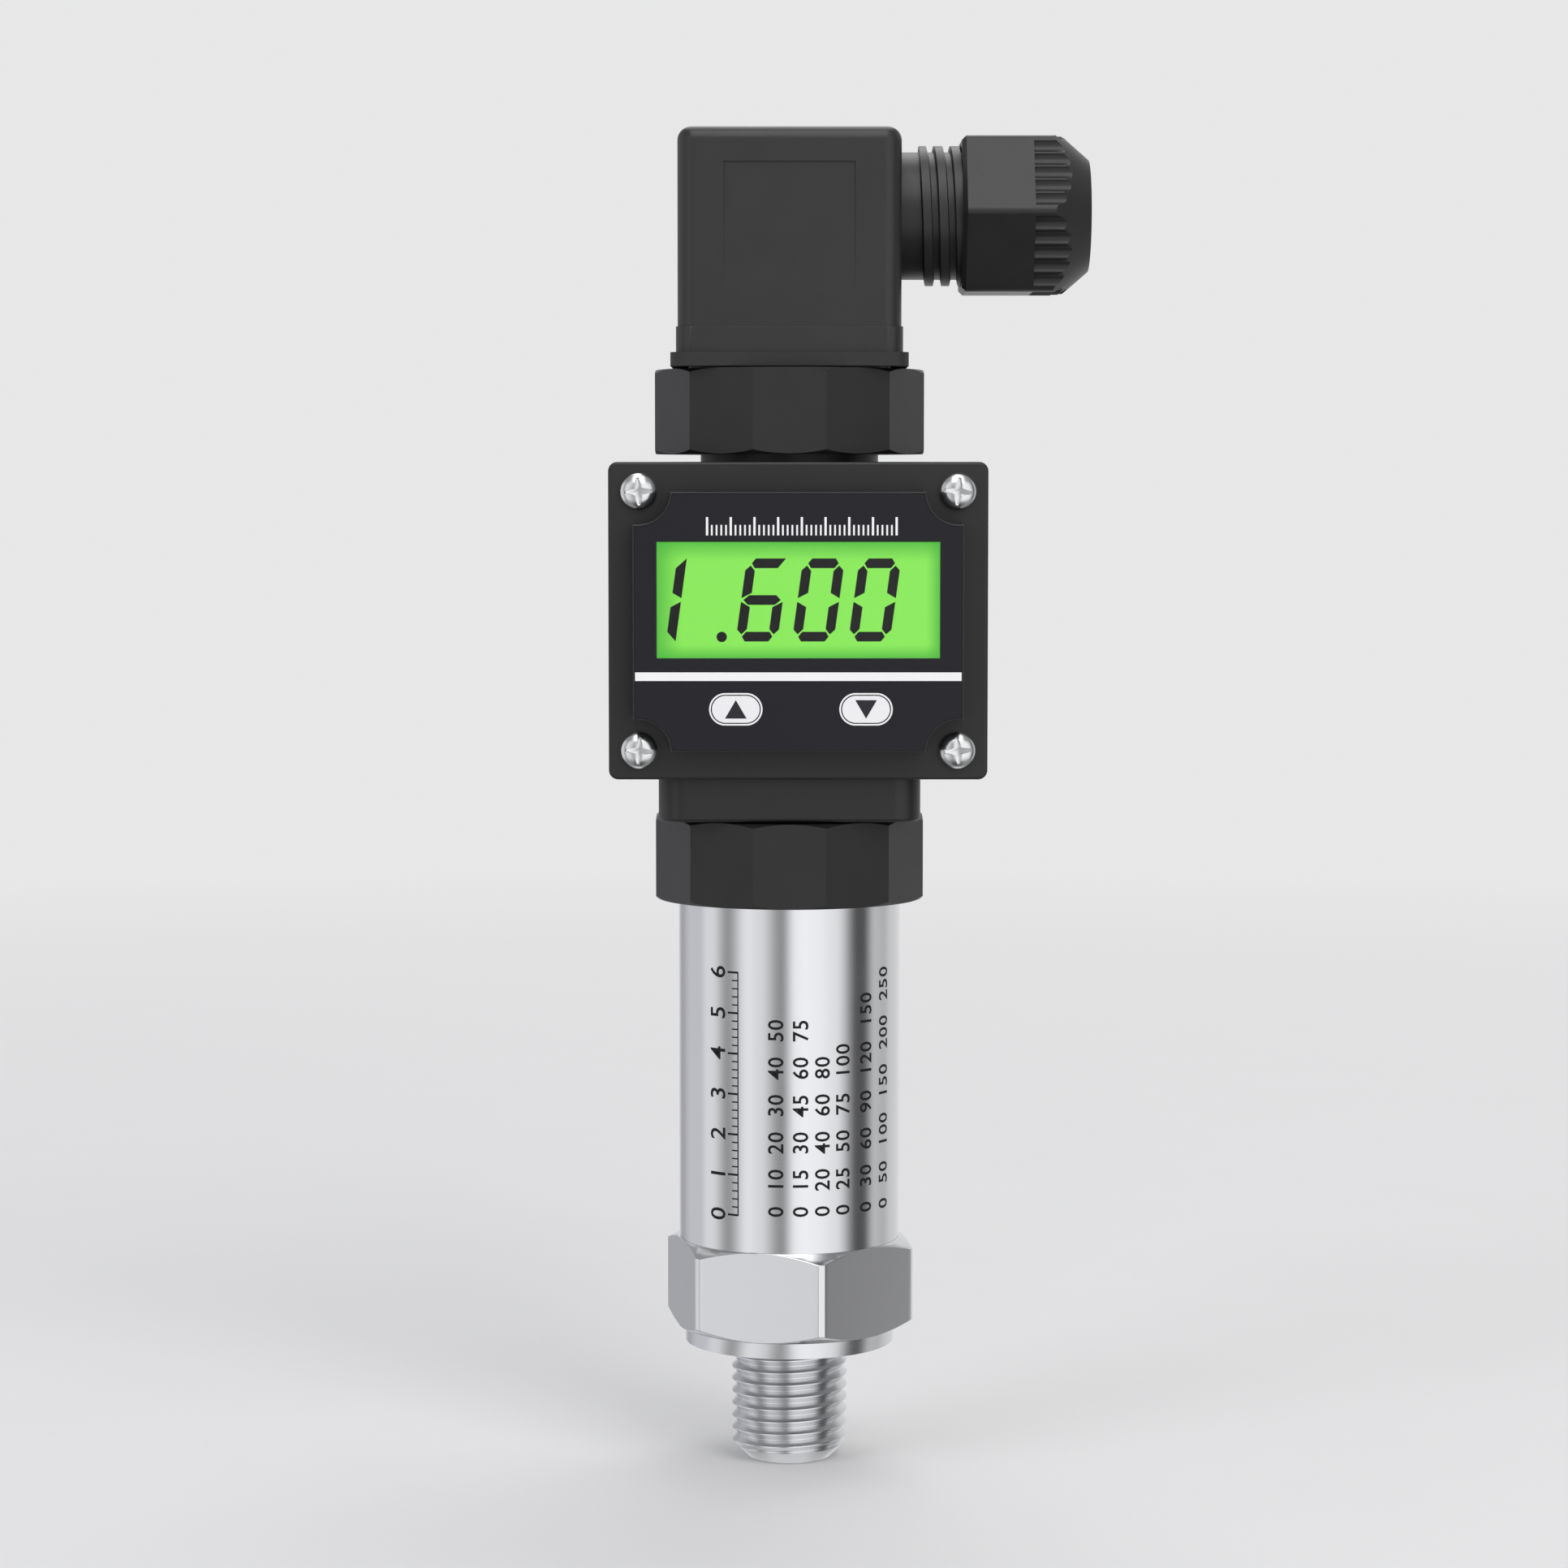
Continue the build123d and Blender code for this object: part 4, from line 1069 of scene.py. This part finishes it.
# %% Floor
floor_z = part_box("process_fitting")[0].z
floor_r = 6.0
glow_start, glow_w = 0.14, 0.6
floor_disc = {"radius": floor_r, "fill_type": "NGON", "location": (0, 0, floor_z)}
deselect()
bpy.ops.mesh.primitive_circle_add(vertices=96, **floor_disc)
floor = bpy.context.object
floor.name = "floor"
floor.visible_glossy = False
pale = 0.8
pale_light = (pale, pale, pale * 1.01, 1)
floor_finish = Finish("floor pale", {"Roughness": 0.9, "Specular IOR Level": 0.1})
floor_x, floor_y = floor_finish.place()[:2]
distance = (floor_x * floor_x + floor_y * floor_y).math("SQRT")
far = ((distance - glow_start) / glow_w).clamped()
dust = floor_finish.noise(floor_finish.point(), 30)
floor_colour = floor_finish.between(dust, (0.79, 0.79, 0.795, 1), (0.81, 0.81, 0.815, 1))
floor_finish.feed("Base Color", floor_colour)
glow = floor_finish.node("ShaderNodeEmission", {}, {"Color": pale_light})
lit = Number(floor_finish, floor_finish.shader.outputs[0])
mixed = floor_finish.node("ShaderNodeMixShader", {}, {0: far, 1: lit, 2: glow})
floor_output = floor_finish.tree.nodes["Material Output"]
floor_finish.tree.links.new(mixed.socket, floor_output.inputs["Surface"])
floor.data.materials.append(floor_finish.material)

# %% [markdown]
# The bands on the tube in the photograph give the boxes' places. A tube mirrors a direction twice as
# far round as its own surface has turned, so a band at 25 degrees mirrors a box at 50. Each stop
# below is a direction in degrees with a level of light. The first ramp runs round the part, to the
# right of the camera's direction. The second runs from there up, over the part and down behind it,
# and takes over where a direction is steep. What is steep and far to the side is a dim ceiling.

# %% World
soft_boxes = [
    (-180, 0.85), (-150, 0.42), (-125, 0.66), (-106, 0.66), (-96, 0.87), (-88, 0.87), (-67, 0.36),
    (-44, 1.0), (-31, 0.88), (-8, 0.32), (7, 1.1), (16, 1.15), (30, 1.1), (48, 0.97), (75, 0.1),
    (83, 0.1), (100, 0.62), (116, 0.55), (132, 0.72), (156, 0.78), (180, 0.85),
]
over_the_top = [
    (-180, 0.6), (-120, 0.78), (-96, 0.7), (-80, 0.2), (-66, 0.06), (-35, 0.1), (-15, 1.0), (22, 1.1),
    (34, 3.0), (77, 3.0), (88, 1.0), (98, 1.0), (112, 2.4), (150, 2.6), (180, 1.6),
]


def stops_from(levels, blue_below=-90):
    """Ramp stops from directions in degrees. What lies far to the left is a cooler light."""
    stops = []
    for angle, level in levels:
        blue = 1.05 if angle < blue_below else 1.01
        stops.append(((angle + 180) / 360, (level, level, level * blue, 1)))
    return stops


class World(Finish):
    """The same node helper on the world's own tree."""

    def __init__(self):
        world = bpy.data.worlds.new("studio")
        bpy.context.scene.world = world
        world.use_nodes = True
        self.tree = world.node_tree
        self.shader = self.tree.nodes["Background"]


studio = World()
way = studio.node("ShaderNodeTexCoord", {}, {}, "Generated")
way_x, way_y, way_z = [studio.node("ShaderNodeSeparateXYZ", {}, {0: way}, axis) for axis in range(3)]
turn = way_x.math("ARCTAN2", 0 - way_y) / (2 * math.pi) + 0.5
rise = way_z.math("ARCTAN2", 0 - way_y) / (2 * math.pi) + 0.5
ramp = "ShaderNodeValToRGB"
round_about = studio.node(ramp, {"stops": stops_from(soft_boxes)}, {0: turn})
overhead = studio.node(ramp, {"stops": stops_from(over_the_top, -180)}, {0: rise})
steep_start, steep_w = 0.42, 0.22
side_start, side_w = 0.2, 0.2
dim_ceiling = (0.3, 0.3, 0.3, 1)
matt_light = (0.55, 0.55, 0.56, 1)
steep = ((way_z.math("ABSOLUTE") - steep_start) / steep_w).clamped()
sideways = ((way_x.math("ABSOLUTE") - side_start) / side_w).clamped()
ceiling = studio.between(sideways, overhead, dim_ceiling)
room = studio.between(steep, round_about, ceiling)
camera_ray, pane_ray, gloss_ray = [
    studio.node("ShaderNodeLightPath", {}, {}, name)
    for name in ("Is Camera Ray", "Is Transmission Ray", "Is Glossy Ray")
]
lit_room = studio.between(gloss_ray, matt_light, room)
sky = studio.between(camera_ray + pane_ray, lit_room, pale_light)
studio.feed("Color", sky)

# %% [markdown]
# Three big soft lamps give the light that falls on matt surfaces, and the shadow on the floor. They
# are hidden from mirrors, which see the world's boxes instead.

# %% Lamps


def soft_lamp(name, azimuth, place, size, watts, colour):
    """A big soft lamp at an azimuth, a distance and a height, aimed at the display."""
    data = bpy.data.lights.new(name, "AREA")
    data.shape = "RECTANGLE"
    data.size, data.size_y = size
    data.energy = watts
    data.color = colour
    lamp = bpy.data.objects.new(name, data)
    bpy.context.scene.collection.objects.link(lamp)
    distance, height = place
    angle = math.radians(azimuth)
    lamp.location = (distance * math.sin(angle), -distance * math.cos(angle), height)
    aim = Vector((0, 0, 80 * mm)) - lamp.location
    lamp.rotation_euler = aim.to_track_quat("-Z", "Y").to_euler()
    lamp.visible_glossy = False


soft_lamp("key_lamp", 32, (0.9, 0.65), (0.6, 0.8), 4.4, (1.0, 0.99, 0.97))
soft_lamp("fill_lamp", -50, (1.0, 0.45), (0.5, 0.8), 2.4, (0.95, 0.97, 1.0))
soft_lamp("top_lamp", 160, (0.5, 1.1), (0.7, 0.5), 3.0, (1.0, 1.0, 1.0))
